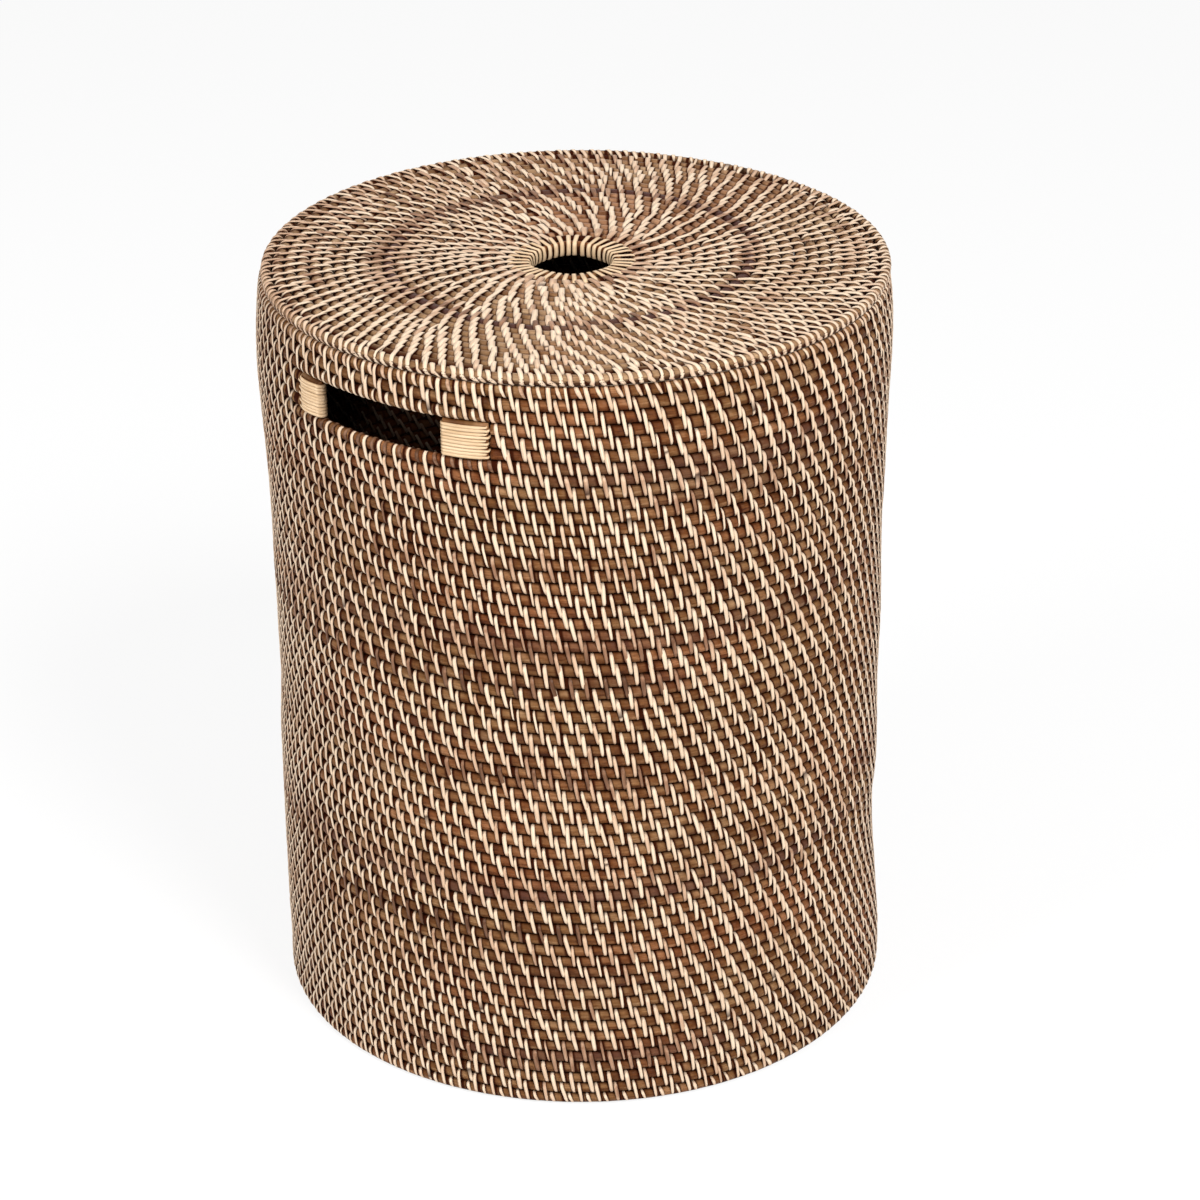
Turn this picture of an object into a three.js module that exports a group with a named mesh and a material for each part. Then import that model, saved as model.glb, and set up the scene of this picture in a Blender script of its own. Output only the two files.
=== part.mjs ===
// A round coiled-cane laundry hamper with two hand slots and a lift-off lid.
// Lengths of dark cane lie in level turns, side by side, and step up one turn at the seam.
// The slots' ends and the lid's finger hole are bound with strips of pale peel.
// Millimetres, +Z up, origin at the middle of the foot. The hand slots face -X and +X.
import * as THREE from 'three';

// Driving dimensions: the wall.
const bodyRadius = 200; // outside of the wall at the foot
const waistDrop = 4; // how far the wall draws in half way up
const rimDrawIn = 4; // how far it draws in again at the top
const drawInHeight = 40; // over this much of its height
const rowPitch = 7.86; // height that one turn of the wall takes
const wallThickness = 7.6;
const wallCanes = 4; // lengths of cane below the slots
const turnsPerWallCane = 14;
const slotRows = 3; // turns that the slots interrupt
const barTurns = 2; // turns between the slots and the rim hoop
const grooveDepth = 1.5; // dip between two turns

// Driving dimensions: the hand slots and their bindings.
const slotLength = 92; // clear opening along the wall
const longEnd = 28.7; // bound stack of short canes at one end of each slot
const shortEnd = 19.7; // and at its other end
const slotEndThickness = 5.4; // of those stacks, which are rounded towards the slot
const bindingProud = 0.4; // their bindings stand this far out of the wall
const slitWidth = 2.2; // gap behind that stack, which the wraps pass through
const wrapCount = 8;
const wrapWidth = 2.15;
const stripThickness = 0.9;

// Driving dimensions: the base.
const baseThickness = 7.4;
const baseRecess = 1.2; // the base stays this far off the floor
const baseCaneTurns = [9, 8, 8]; // turns of each length, from the middle outwards

// Driving dimensions: the lid.
const lidStepIn = 0.4; // the lid's edge lies this far inside the rim's
const lidThickness = 7.4;
const lidDish = 3.5; // how far the lid's middle sinks below its edge
const lidRimCane = 7.4;
const lidCanes = 4;
const turnsPerLidCane = 5;
const holeRadius = 24.5; // clear finger hole
const holeCane = 6.2; // thinner, flattened cane of the hole's hoop
const holeCaneHeight = 8.6;
const holeWraps = 24;
const holeWrapWidth = 3.6;
const ringTurns = 2; // turns of the ring under the lid
const ringCane = 7.4;
const ringClearance = 4; // between that ring and the inside of the wall

// Fits and facets.
const seatGap = 0.3; // between pieces that lie against each other
const wrapGap = 0.55; // round the hole's hoop, which is a polygon inside its wraps
const roundSteps = 24; // facets round the hamper
const caneSides = 8; // sides of a hoop's section
const climbShare = 1 / 8; // part of a turn over which a coil steps up one turn
const seamAngle = THREE.MathUtils.degToRad(60); // at the back, clear of both slots

// Heights that follow from the turns.
const footTop = rowPitch;
const lowerTurns = wallCanes * turnsPerWallCane;
const slotBottom = footTop + lowerTurns * rowPitch;
const slotTop = slotBottom + slotRows * rowPitch;
const rimBottom = slotTop + barTurns * rowPitch;
const wallHeight = rimBottom + rowPitch;
const caneHeight = rowPitch - seatGap;
const innerRadius = bodyRadius - wallThickness;
const rimCentre = rimBottom + rowPitch / 2;

const stainedCane = new THREE.MeshStandardMaterial({ color: '#71543d', roughness: 0.55 });
const darkCane = new THREE.MeshStandardMaterial({ color: '#5d4436', roughness: 0.55 });
const palePeel = new THREE.MeshStandardMaterial({ color: '#ecd2a9', roughness: 0.6 });

const hamper = new THREE.Group();
const body = new THREE.Group();
const lid = new THREE.Group();
hamper.add(body, lid);

function addPiece(parent, name, geometry, material) {
  const piece = new THREE.Mesh(geometry, material);
  piece.name = name;
  parent.add(piece);
  return piece;
}

// Closed geometry from triangles of corner points. Collapsed triangles are left out,
// and a solid whose faces point inwards is turned round.
function solidFrom(triangles) {
  const apart = (p, q) => p.distanceToSquared(q) > 1e-8;
  const kept = triangles.filter(([a, b, c]) => apart(a, b) && apart(b, c) && apart(c, a));
  const signedVolume = kept.reduce((sum, [a, b, c]) => sum + a.dot(b.clone().cross(c)), 0);
  const corners = kept.flatMap(([a, b, c]) => (signedVolume > 0 ? [a, b, c] : [a, c, b]));
  return new THREE.BufferGeometry().setFromPoints(corners);
}

// A convex polygon as a fan of triangles.
function fan(corners) {
  return corners.slice(2).map((corner, i) => [corners[0], corners[i + 1], corner]);
}

// One length of cane in turns that lie side by side. The turns run from `first` to `last` of
// a coil of `total`. surface(angle, turns, rise) gives a point of the ridged face, where rise
// is 0 in the groove between two turns and 1 on the crest, and backing(angle, turns) one of
// the plain face. A coil starts and ends in a point; a length that joins another has a butt end.
function coiledCane({ first, last, total, gapTurns, gapAngle, surface, backing }) {
  const steps = roundSteps;
  const startsInPoint = first === 0;
  const endsInPoint = last === total;
  const lowest = startsInPoint ? -1 : first;

  const climb = (j) => Math.max(0, 1 - (steps - j) / (climbShare * steps));
  const acrossAt = (i, j) => {
    const inset = (i === lowest && j < steps ? gapTurns : 0) - (i === last && j > 0 ? gapTurns : 0);
    return THREE.MathUtils.clamp(i + climb(j) + inset, gapTurns, total - gapTurns);
  };
  const angleAt = (i, j) => {
    const startGap = !startsInPoint && i === lowest && j === 0 ? gapAngle : 0;
    const endGap = !endsInPoint && i === last && j === steps ? gapAngle : 0;
    return seamAngle + (2 * Math.PI * j) / steps + startGap - endGap;
  };
  const groove = (i, j) => surface(angleAt(i, j), acrossAt(i, j), 0);
  const back = (i, j) => backing(angleAt(i, j), acrossAt(i, j));
  const crest = (i, j) => {
    const low = acrossAt(i, j);
    const high = acrossAt(i + 1, j);
    return surface((angleAt(i, j) + angleAt(i + 1, j)) / 2, (low + high) / 2, Math.min(1, high - low));
  };

  const faces = [];
  for (let j = 0; j < steps; j++) {
    for (let i = lowest; i < last; i++) {
      faces.push(...fan([groove(i, j), crest(i, j), crest(i, j + 1), groove(i, j + 1)]));
      faces.push(...fan([crest(i, j), groove(i + 1, j), groove(i + 1, j + 1), crest(i, j + 1)]));
    }
    faces.push(...fan([groove(lowest, j), groove(lowest, j + 1), back(lowest, j + 1), back(lowest, j)]));
    faces.push(...fan([groove(last, j + 1), groove(last, j), back(last, j), back(last, j + 1)]));
    const near = j === 0 && !startsInPoint ? [back(lowest + 1, 0)] : [];
    const far = j === steps - 1 && !endsInPoint ? [back(last - 1, steps)] : [];
    faces.push(...fan([back(lowest, j), back(lowest, j + 1), ...far, back(last, j + 1)]));
    faces.push(...fan([back(lowest, j), back(last, j + 1), back(last, j), ...near]));
  }
  const buttEnd = (i, j) => [groove(i, j), back(i, j), back(i + 1, j), groove(i + 1, j), crest(i, j)];
  if (!startsInPoint) faces.push(...fan(buttEnd(lowest, 0)));
  if (!endsInPoint) faces.push(...fan(buttEnd(last - 1, steps).reverse()));
  return solidFrom(faces);
}

// Outside of the wall at a height: full at the foot, drawn in half way up and again at the top.
function outerRadiusAt(z) {
  const share = z / wallHeight;
  const nearTop = Math.max(0, 1 - (wallHeight - z) / drawInHeight);
  return bodyRadius - 4 * waistDrop * share * (1 - share) - rimDrawIn * nearTop ** 2;
}

function polar(radius, angle, z) {
  return new THREE.Vector3(radius * Math.cos(angle), radius * Math.sin(angle), z);
}

// Turns stacked upwards from `bottom`, ridged on the outside.
function stackedCane({ first, last, total, bottom, pitch, thickness, radiusAt }) {
  const heightAt = (turns) => bottom + turns * pitch;
  return coiledCane({
    first,
    last,
    total,
    gapTurns: seatGap / 2 / pitch,
    gapAngle: seatGap / bodyRadius,
    surface: (angle, turns, rise) =>
      polar(radiusAt(heightAt(turns)) - grooveDepth * (1 - rise), angle, heightAt(turns)),
    backing: (angle, turns) => polar(radiusAt(heightAt(turns)) - thickness, angle, heightAt(turns)),
  });
}

// Turns laid outwards from `inner`, ridged on the face at `ridged` and plain at `plain`.
// sinkAt gives how far they lie below those heights at a radius.
function flatCane({ first, last, total, inner, pitch, ridged, plain, sinkAt }) {
  const radiusAt = (turns) => inner + turns * pitch;
  const inwards = Math.sign(plain - ridged);
  return coiledCane({
    first,
    last,
    total,
    gapTurns: seatGap / 2 / pitch,
    gapAngle: seatGap / bodyRadius,
    surface: (angle, turns, rise) => {
      const height = ridged + inwards * grooveDepth * (1 - rise);
      return polar(radiusAt(turns), angle, height - sinkAt(radiusAt(turns)));
    },
    backing: (angle, turns) => polar(radiusAt(turns), angle, plain - sinkAt(radiusAt(turns))),
  });
}

// Many-sided section of a cane, with flats at its full width and height.
function caneSection(width, height) {
  const corner = 1 / Math.cos(Math.PI / caneSides);
  return Array.from({ length: caneSides }, (_, i) => {
    const angle = ((i + 0.5) * 2 * Math.PI) / caneSides;
    return new THREE.Vector2((width / 2) * corner * Math.cos(angle), (height / 2) * corner * Math.sin(angle));
  });
}

// A hoop of cane round the Z axis, with its corners in line with the coils' own.
function caneHoop(centreRadius, centreHeight, width, height, steps) {
  const section = caneSection(width, height).map((p) => p.add(new THREE.Vector2(centreRadius, centreHeight)));
  const quarterTurn = Math.PI / 2;
  return new THREE.LatheGeometry([...section, section[0]], steps, seamAngle + quarterTurn).rotateX(quarterTurn);
}

class LevelArc extends THREE.Curve {
  constructor(radius, height, from, to) {
    super();
    Object.assign(this, { radius, height, from, to });
  }
  getPoint(share) {
    return polar(this.radius, THREE.MathUtils.lerp(this.from, this.to, share), this.height);
  }
}

// A flat strip that follows frameAt(loops), whose `across` is the strip's width and `out` its thickness.
function woundStrip(loops, stepsPerLoop, width, frameAt) {
  const rings = Array.from({ length: loops * stepsPerLoop + 1 }, (_, i) => {
    const { centre, across, out } = frameAt(i / stepsPerLoop);
    return [[1, 1], [-1, 1], [-1, -1], [1, -1]].map(([a, b]) =>
      centre.clone().addScaledVector(across, (a * width) / 2).addScaledVector(out, (b * stripThickness) / 2),
    );
  });
  const faces = [...fan(rings[0]), ...fan([...rings.at(-1)].reverse())];
  for (let i = 0; i + 1 < rings.length; i++) {
    for (let side = 0; side < 4; side++) {
      const next = (side + 1) % 4;
      faces.push(...fan([rings[i][side], rings[i + 1][side], rings[i + 1][next], rings[i][next]]));
    }
  }
  return solidFrom(faces);
}

// Least space between one loop of a strip and the next, from the middles of its sections.
function leastGap(loops, stepsPerLoop, width, frameAt) {
  let least = Infinity;
  for (let i = 0; i <= (loops - 1) * stepsPerLoop; i++) {
    const here = frameAt(i / stepsPerLoop).centre;
    const nextLoop = frameAt(i / stepsPerLoop + 1).centre;
    least = Math.min(least, here.distanceTo(nextLoop) - width);
  }
  return least;
}

// Foot and base.
const wallCentreRadius = bodyRadius - wallThickness / 2;
const footHoop = caneHoop(wallCentreRadius, caneHeight / 2, wallThickness, caneHeight, roundSteps);
addPiece(body, 'foot_hoop', footHoop, stainedCane);

const baseTurns = baseCaneTurns.reduce((sum, turns) => sum + turns, 0);
const basePitch = innerRadius / baseTurns;
baseCaneTurns.forEach((turns, index) => {
  const first = baseCaneTurns.slice(0, index).reduce((sum, n) => sum + n, 0);
  const geometry = flatCane({
    first,
    last: first + turns,
    total: baseTurns,
    inner: 0,
    pitch: basePitch,
    ridged: baseRecess + baseThickness,
    plain: baseRecess,
    sinkAt: () => 0,
  });
  addPiece(body, `base_cane_${index + 1}`, geometry, stainedCane);
});

// Wall below the slots.
for (let cane = 0; cane < wallCanes; cane++) {
  const geometry = stackedCane({
    first: cane * turnsPerWallCane,
    last: (cane + 1) * turnsPerWallCane,
    total: lowerTurns,
    bottom: footTop,
    pitch: rowPitch,
    thickness: wallThickness,
    radiusAt: outerRadiusAt,
  });
  addPiece(body, `wall_cane_${cane + 1}`, geometry, stainedCane);
}

// Turns that the slots interrupt: a front and a back length in each.
const slotReach = (slotLength + longEnd + shortEnd) / 2 + seatGap + stripThickness + seatGap;
const slotEndMiddle = (endLength) => (slotReach - endLength / 2) / bodyRadius;
const slitEnd = slotEndMiddle(longEnd) + (longEnd / 2 + slitWidth) / wallCentreRadius;
const arcSteps = 9;
for (let row = 0; row < slotRows; row++) {
  const height = slotBottom + (row + 0.5) * rowPitch;
  const centre = outerRadiusAt(height) - wallThickness / 2;
  for (const [side, start] of [['front', -Math.PI], ['back', 0]]) {
    const arc = new LevelArc(centre, height, start + slitEnd, start + Math.PI - slitEnd);
    const section = new THREE.Shape(caneSection(caneHeight, wallThickness));
    const geometry = new THREE.ExtrudeGeometry(section, { steps: arcSteps, extrudePath: arc });
    addPiece(body, `slot_cane_${side}_${row + 1}`, geometry, stainedCane);
  }
}

// Bound stack of short canes at one end of a slot, drawn with X along the wall, Y outwards and
// its middle at the origin. towards is 1 where the slot lies at +X and -1 where it lies at -X.
const stackHeight = slotRows * rowPitch - seatGap;
const halfThickness = slotEndThickness / 2;
const cornerSteps = 2;
const wrapSteps = 4 * cornerSteps;
const chamferAngle = Math.PI / wrapSteps;

// Ridged outline of the stack at x, with its thickness times `share`: up the outside, down the inside.
function stackRing(x, share) {
  const levels = Array.from({ length: 2 * slotRows + 1 }, (_, k) => k / slotRows - 1);
  return [1, -1].map((side) =>
    levels.map((level, k) => {
      const dip = k % 2 === 0 ? grooveDepth : 0;
      return new THREE.Vector3(x, side * (halfThickness - dip) * share, (level * stackHeight) / 2);
    }),
  );
}

// The stack's round end is a chamfer, which the wraps follow.
function stackGeometry(endLength, towards) {
  const flat = Math.tan(chamferAngle);
  const rings = [
    stackRing((-towards * endLength) / 2, 1),
    stackRing(towards * (endLength / 2 - halfThickness * (1 - flat)), 1),
    stackRing((towards * endLength) / 2, flat),
  ];
  const faces = [];
  for (let k = 0; k < 2 * slotRows; k++) {
    for (const [side, facing] of [[0, 1], [1, -1]]) {
      for (let i = 0; i + 1 < rings.length; i++) {
        const [near, far] = [rings[i][side], rings[i + 1][side]];
        const quad = [near[k], near[k + 1], far[k + 1], far[k]];
        faces.push(...fan(facing === 1 ? quad : quad.reverse()));
      }
    }
    for (const [ring, facing] of [[rings[0], 1], [rings.at(-1), -1]]) {
      const quad = [ring[0][k], ring[1][k], ring[1][k + 1], ring[0][k + 1]];
      faces.push(...fan(facing === 1 ? quad : quad.reverse()));
    }
  }
  for (let i = 0; i + 1 < rings.length; i++) {
    for (const [k, facing] of [[0, 1], [2 * slotRows, -1]]) {
      const quad = [rings[i][0][k], rings[i + 1][0][k], rings[i + 1][1][k], rings[i][1][k]];
      faces.push(...fan(facing === 1 ? quad : quad.reverse()));
    }
  }
  return solidFrom(faces);
}

// The wraps go round the stack, with a small corner at its far end and a wide one towards the
// slot, and climb one pitch a loop.
const cornerRadius = seatGap + stripThickness / 2;
const wrapPitch = (stackHeight - wrapWidth) / wrapCount;

function slotWrapFrame(loops, endLength = longEnd, towards = 1) {
  const step = Math.round(loops * wrapSteps);
  const turn = ((step + 0.5) / wrapSteps) * 2 * Math.PI;
  const bend = new THREE.Vector3(Math.cos(turn), Math.sin(turn), 0);
  const height = (loops - wrapCount / 2) * wrapPitch;
  const wide = new THREE.Vector3(endLength / 2 - halfThickness, 0, height);
  const small = new THREE.Vector3(-endLength / 2, Math.sign(bend.y) * halfThickness, height);
  const wideRadius = (halfThickness + cornerRadius) / Math.cos(chamferAngle);
  const centre = bend.x > 0 ? wide.addScaledVector(bend, wideRadius) : small.addScaledVector(bend, cornerRadius);
  const mirror = new THREE.Vector3(towards, 1, 1);
  return { centre: centre.multiply(mirror), across: new THREE.Vector3(0, 0, 1), out: bend.multiply(mirror) };
}

const slotMiddle = (slotBottom + slotTop) / 2;
const bindingHalf = halfThickness + cornerRadius + stripThickness / 2;
const slotEnds = {
  left_front: { slotAngle: Math.PI, side: 1, endLength: longEnd },
  left_back: { slotAngle: Math.PI, side: -1, endLength: shortEnd },
  right_front: { slotAngle: 0, side: -1, endLength: shortEnd },
  right_back: { slotAngle: 0, side: 1, endLength: longEnd },
};
for (const [place, { slotAngle, side, endLength }] of Object.entries(slotEnds)) {
  const angle = slotAngle + side * slotEndMiddle(endLength);
  const stackDrop = wallCentreRadius * (1 - Math.cos(endLength / 2 / wallCentreRadius));
  const stackRadius = outerRadiusAt(slotMiddle) + bindingProud - bindingHalf - stackDrop / 2;
  const slotEnd = new THREE.Group();
  slotEnd.position.copy(polar(stackRadius, angle, slotMiddle));
  slotEnd.rotation.z = angle - Math.PI / 2;
  addPiece(slotEnd, `slot_end_stack_${place}`, stackGeometry(endLength, side), stainedCane);
  const frameAt = (loops) => slotWrapFrame(loops, endLength, side);
  const binding = woundStrip(wrapCount, wrapSteps, wrapWidth, frameAt);
  addPiece(slotEnd, `slot_end_binding_${place}`, binding, palePeel);
  body.add(slotEnd);
}

// Bar over the slots and the rim.
const barCane = stackedCane({
  first: 0,
  last: barTurns,
  total: barTurns,
  bottom: slotTop,
  pitch: rowPitch,
  thickness: wallThickness,
  radiusAt: outerRadiusAt,
});
addPiece(body, 'bar_cane', barCane, stainedCane);
const rimOuter = outerRadiusAt(rimCentre);
const rimHoop = caneHoop(rimOuter - wallThickness / 2, rimCentre, wallThickness, caneHeight, roundSteps);
addPiece(body, 'rim_hoop', rimHoop, stainedCane);

// The lid's rim hoop rests on the wall's, flat on flat.
const lidRimRadius = rimOuter - lidStepIn - lidRimCane / 2;
const lidCentre = rimCentre + caneHeight / 2 + seatGap + lidRimCane / 2;
const lidRimHoop = caneHoop(lidRimRadius, lidCentre, lidRimCane, lidRimCane, roundSteps);
addPiece(lid, 'lid_rim_hoop', lidRimHoop, stainedCane);

// Finger hole: a flattened hoop with peel wound round it, level with the top of the lid.
const wrapOffset = holeCane / 2 + wrapGap + stripThickness / 2;
const holeHoopRadius = holeRadius + stripThickness / 2 + wrapOffset;
const holeSteps = 32;
const holeWrapSteps = 8;
const holeHeight = lidCentre - lidDish - (holeCaneHeight - holeCane) / 2;
const holeHoop = caneHoop(holeHoopRadius, holeHeight, holeCane, holeCaneHeight, holeSteps);
addPiece(lid, 'lid_hole_hoop', holeHoop, stainedCane);

function holeWrapFrame(loops) {
  const endGap = 0.25; // share of a loop left open where the winding's two ends pass
  const angle = (2 * Math.PI * loops) / (holeWraps + endGap);
  const turn = 2 * Math.PI * loops + Math.PI + Math.PI / holeWrapSteps; // corner over corner
  const radial = polar(1, angle, 0);
  const out = radial.clone().multiplyScalar(Math.cos(turn)).add(new THREE.Vector3(0, 0, Math.sin(turn)));
  const taller = (holeCaneHeight - holeCane) / 2 / Math.cos(Math.PI / holeWrapSteps);
  const rise = new THREE.Vector3(0, 0, taller * Math.sin(turn));
  const centre = polar(holeHoopRadius, angle, holeHeight).addScaledVector(out, wrapOffset).add(rise);
  return { centre, across: polar(1, angle + Math.PI / 2, 0), out };
}
const holeBinding = woundStrip(holeWraps, holeWrapSteps, holeWrapWidth, holeWrapFrame);
addPiece(lid, 'lid_hole_binding', holeBinding, palePeel);

// Top of the lid, a shallow cone from the rim hoop down to the hole's binding.
const lidSink = (radius) => (lidDish * (lidRimRadius - radius)) / (lidRimRadius - holeHoopRadius);
const bindingOuter = holeHoopRadius + wrapOffset + stripThickness / 2;
const lidInner = (bindingOuter + seatGap) / Math.cos(Math.PI / roundSteps);
const lidTurns = lidCanes * turnsPerLidCane;
const lidPitch = (lidRimRadius - lidRimCane / 2 - lidInner) / lidTurns;
for (let cane = 0; cane < lidCanes; cane++) {
  const geometry = flatCane({
    first: cane * turnsPerLidCane,
    last: (cane + 1) * turnsPerLidCane,
    total: lidTurns,
    inner: lidInner,
    pitch: lidPitch,
    ridged: lidCentre + lidThickness / 2,
    plain: lidCentre - lidThickness / 2,
    sinkAt: lidSink,
  });
  addPiece(lid, `lid_cane_${cane + 1}`, geometry, cane === 1 ? darkCane : stainedCane);
}

// Ring under the lid that drops inside the wall and keeps the lid in place.
const ringOuter = rimOuter - wallThickness - ringClearance;
const lidUnderside = lidCentre - lidThickness / 2 - lidSink(ringOuter - ringCane);
const locatingRing = stackedCane({
  first: 0,
  last: ringTurns,
  total: ringTurns,
  bottom: lidUnderside - ringTurns * rowPitch,
  pitch: rowPitch,
  thickness: ringCane,
  radiusAt: () => ringOuter,
});
addPiece(lid, 'lid_locating_ring', locatingRing, stainedCane);

const wraps = {
  slot: [wrapCount, wrapSteps, wrapWidth, slotWrapFrame],
  hole: [holeWraps, holeWrapSteps, holeWrapWidth, holeWrapFrame],
};
for (const [name, winding] of Object.entries(wraps)) {
  console.log(`least gap between loops of the ${name} binding: ${leastGap(...winding).toFixed(2)} mm`);
}

export default hamper;
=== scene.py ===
import bpy
import math
import numpy as np
from mathutils import Matrix, Vector


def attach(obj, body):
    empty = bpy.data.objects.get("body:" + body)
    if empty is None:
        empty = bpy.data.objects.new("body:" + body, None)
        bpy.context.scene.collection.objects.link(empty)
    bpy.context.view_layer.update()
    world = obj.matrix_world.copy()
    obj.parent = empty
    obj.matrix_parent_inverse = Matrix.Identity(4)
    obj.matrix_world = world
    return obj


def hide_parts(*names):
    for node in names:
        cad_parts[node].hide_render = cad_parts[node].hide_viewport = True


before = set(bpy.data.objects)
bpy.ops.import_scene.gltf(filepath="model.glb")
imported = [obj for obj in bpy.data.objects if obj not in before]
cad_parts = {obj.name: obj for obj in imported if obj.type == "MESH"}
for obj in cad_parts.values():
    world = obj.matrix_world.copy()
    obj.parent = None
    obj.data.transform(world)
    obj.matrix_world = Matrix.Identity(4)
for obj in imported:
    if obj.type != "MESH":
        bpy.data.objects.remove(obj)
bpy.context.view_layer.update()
rng = np.random.default_rng(4127)
tau = 2 * math.pi

# Sizes in millimetres, the same as in the part's source. Lengths go to metres when a mesh is made.
hamper = {
    "radius": 200.0,
    "waistDrop": 4.0,
    "rimDrawIn": 4.0,
    "drawInHeight": 40.0,
    "rowPitch": 7.86,
    "wall": 7.6,
    "coilTurns": 56,
    "turnsPerCane": 14,
    "slotRows": 3,
    "barRows": 2,
    "seam": math.radians(60),
    "climbShare": 1 / 8,
    "footRoom": 0.3,  # between the floor and the stitches of the lowest turns
}
rowPitch = hamper["rowPitch"]
footTop = rowPitch
slotBottom = footTop + hamper["coilTurns"] * rowPitch
slotTop = slotBottom + hamper["slotRows"] * rowPitch
rimBottom = slotTop + hamper["barRows"] * rowPitch
wallHeight = rimBottom + rowPitch
# Rows are counted from the foot, which is row 0. Then come the coil, the slots' rows, the bar and the rim
firstSlotRow = 1 + hamper["coilTurns"]
barRow = firstSlotRow + hamper["slotRows"]
rimRow = barRow + hamper["barRows"]


def linear(red, green, blue):
    # sRGB from 0 to 255, turned into the linear values that a shader takes
    c = np.array([red, green, blue]) / 255.0
    return tuple(np.where(c <= 0.04045, c / 12.92, ((c + 0.055) / 1.055) ** 2.4)) + (1.0,)


def waves(parts, theta, along):
    # sum of size * sin(count * angle + drift * along + start)
    return sum(size * np.sin(count * theta + drift * along + start) for size, count, drift, start in parts)


def near(distance, reach):
    # 1 within half the reach, from where it fades to 0 at one and a half
    return np.clip(1.5 - np.abs(distance) / reach, 0, 1)


def level(value):
    # a height or a radius that is the same at every angle
    return lambda angle: np.full(angle.shape, float(value))


# Materials

def newMaterial(name):
    material = bpy.data.materials.new(name)
    material.use_nodes = True
    nodes, links = material.node_tree.nodes, material.node_tree.links
    return material, nodes, links, nodes["Principled BSDF"]


def attributeOn(nodes, name, output="Fac"):
    attribute = nodes.new("ShaderNodeAttribute")
    attribute.attribute_name = name
    return attribute.outputs[output]


def noiseOn(nodes, links, vector, scale, detail, roughness):
    mapping = nodes.new("ShaderNodeMapping")
    mapping.inputs["Scale"].default_value = scale
    links.new(vector, mapping.inputs["Vector"])
    noise = nodes.new("ShaderNodeTexNoise")
    noise.inputs["Scale"].default_value = 1.0
    noise.inputs["Detail"].default_value = detail
    noise.inputs["Roughness"].default_value = roughness
    links.new(mapping.outputs["Vector"], noise.inputs["Vector"])
    return noise.outputs["Fac"]


def grainNoise(nodes, links, kind):
    # on the piece's own grain: millimetres along, millimetres across, and a seed for each length
    grain = attributeOn(nodes, "grain", "Vector")
    return noiseOn(nodes, links, grain, kind["scale"], kind["detail"], kind["roughness"])


def cloudNoise(nodes, links, scale):
    # slow patches through the whole hamper, on object coordinates in metres
    place = nodes.new("ShaderNodeTexCoord").outputs["Object"]
    return noiseOn(nodes, links, place, scale, 2.0, 0.55)


def rampOn(nodes, links, value, stops):
    ramp = nodes.new("ShaderNodeValToRGB")
    elements = ramp.color_ramp.elements
    for i, (position, colour) in enumerate(stops):
        element = elements[i] if i < 2 else elements.new(position)
        element.position = position
        element.color = colour
    links.new(value, ramp.inputs["Fac"])
    return ramp.outputs["Color"]


def plug(links, socket, value):
    # a socket takes another node's output as a link, and anything else as its own value
    if isinstance(value, bpy.types.NodeSocket):
        links.new(value, socket)
    else:
        socket.default_value = value


def mixColours(nodes, links, kind, factor, first, second):
    mix = nodes.new("ShaderNodeMix")
    mix.data_type = "RGBA"
    mix.blend_type = kind
    for position, value in ((0, factor), (6, first), (7, second)):
        plug(links, mix.inputs[position], value)
    return mix.outputs[2]


def calculate(nodes, links, kind, first, second):
    maths = nodes.new("ShaderNodeMath")
    maths.operation = kind
    plug(links, maths.inputs[0], first)
    plug(links, maths.inputs[1], second)
    return maths.outputs[0]


def remap(nodes, links, value, fromLow, fromHigh, toLow, toHigh):
    scale = nodes.new("ShaderNodeMapRange")
    limits = (("From Min", fromLow), ("From Max", fromHigh), ("To Min", toLow), ("To Max", toHigh))
    for key, number in limits:
        scale.inputs[key].default_value = number
    links.new(value, scale.inputs["Value"])
    return scale.outputs["Result"]


def bumpFrom(nodes, links, height, shader, strength, distance):
    bump = nodes.new("ShaderNodeBump")
    bump.inputs["Strength"].default_value = strength
    bump.inputs["Distance"].default_value = distance
    links.new(height, bump.inputs["Height"])
    links.new(bump.outputs["Normal"], shader.inputs["Normal"])


def streaksOn(nodes, links, look, base):
    # fine lines along the grain, which darken and brighten the base
    streaks = grainNoise(nodes, links, look["streakNoise"])
    tone = rampOn(nodes, links, streaks, look["streaks"])
    return streaks, mixColours(nodes, links, "MULTIPLY", look["streakDepth"], base, tone)


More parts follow.
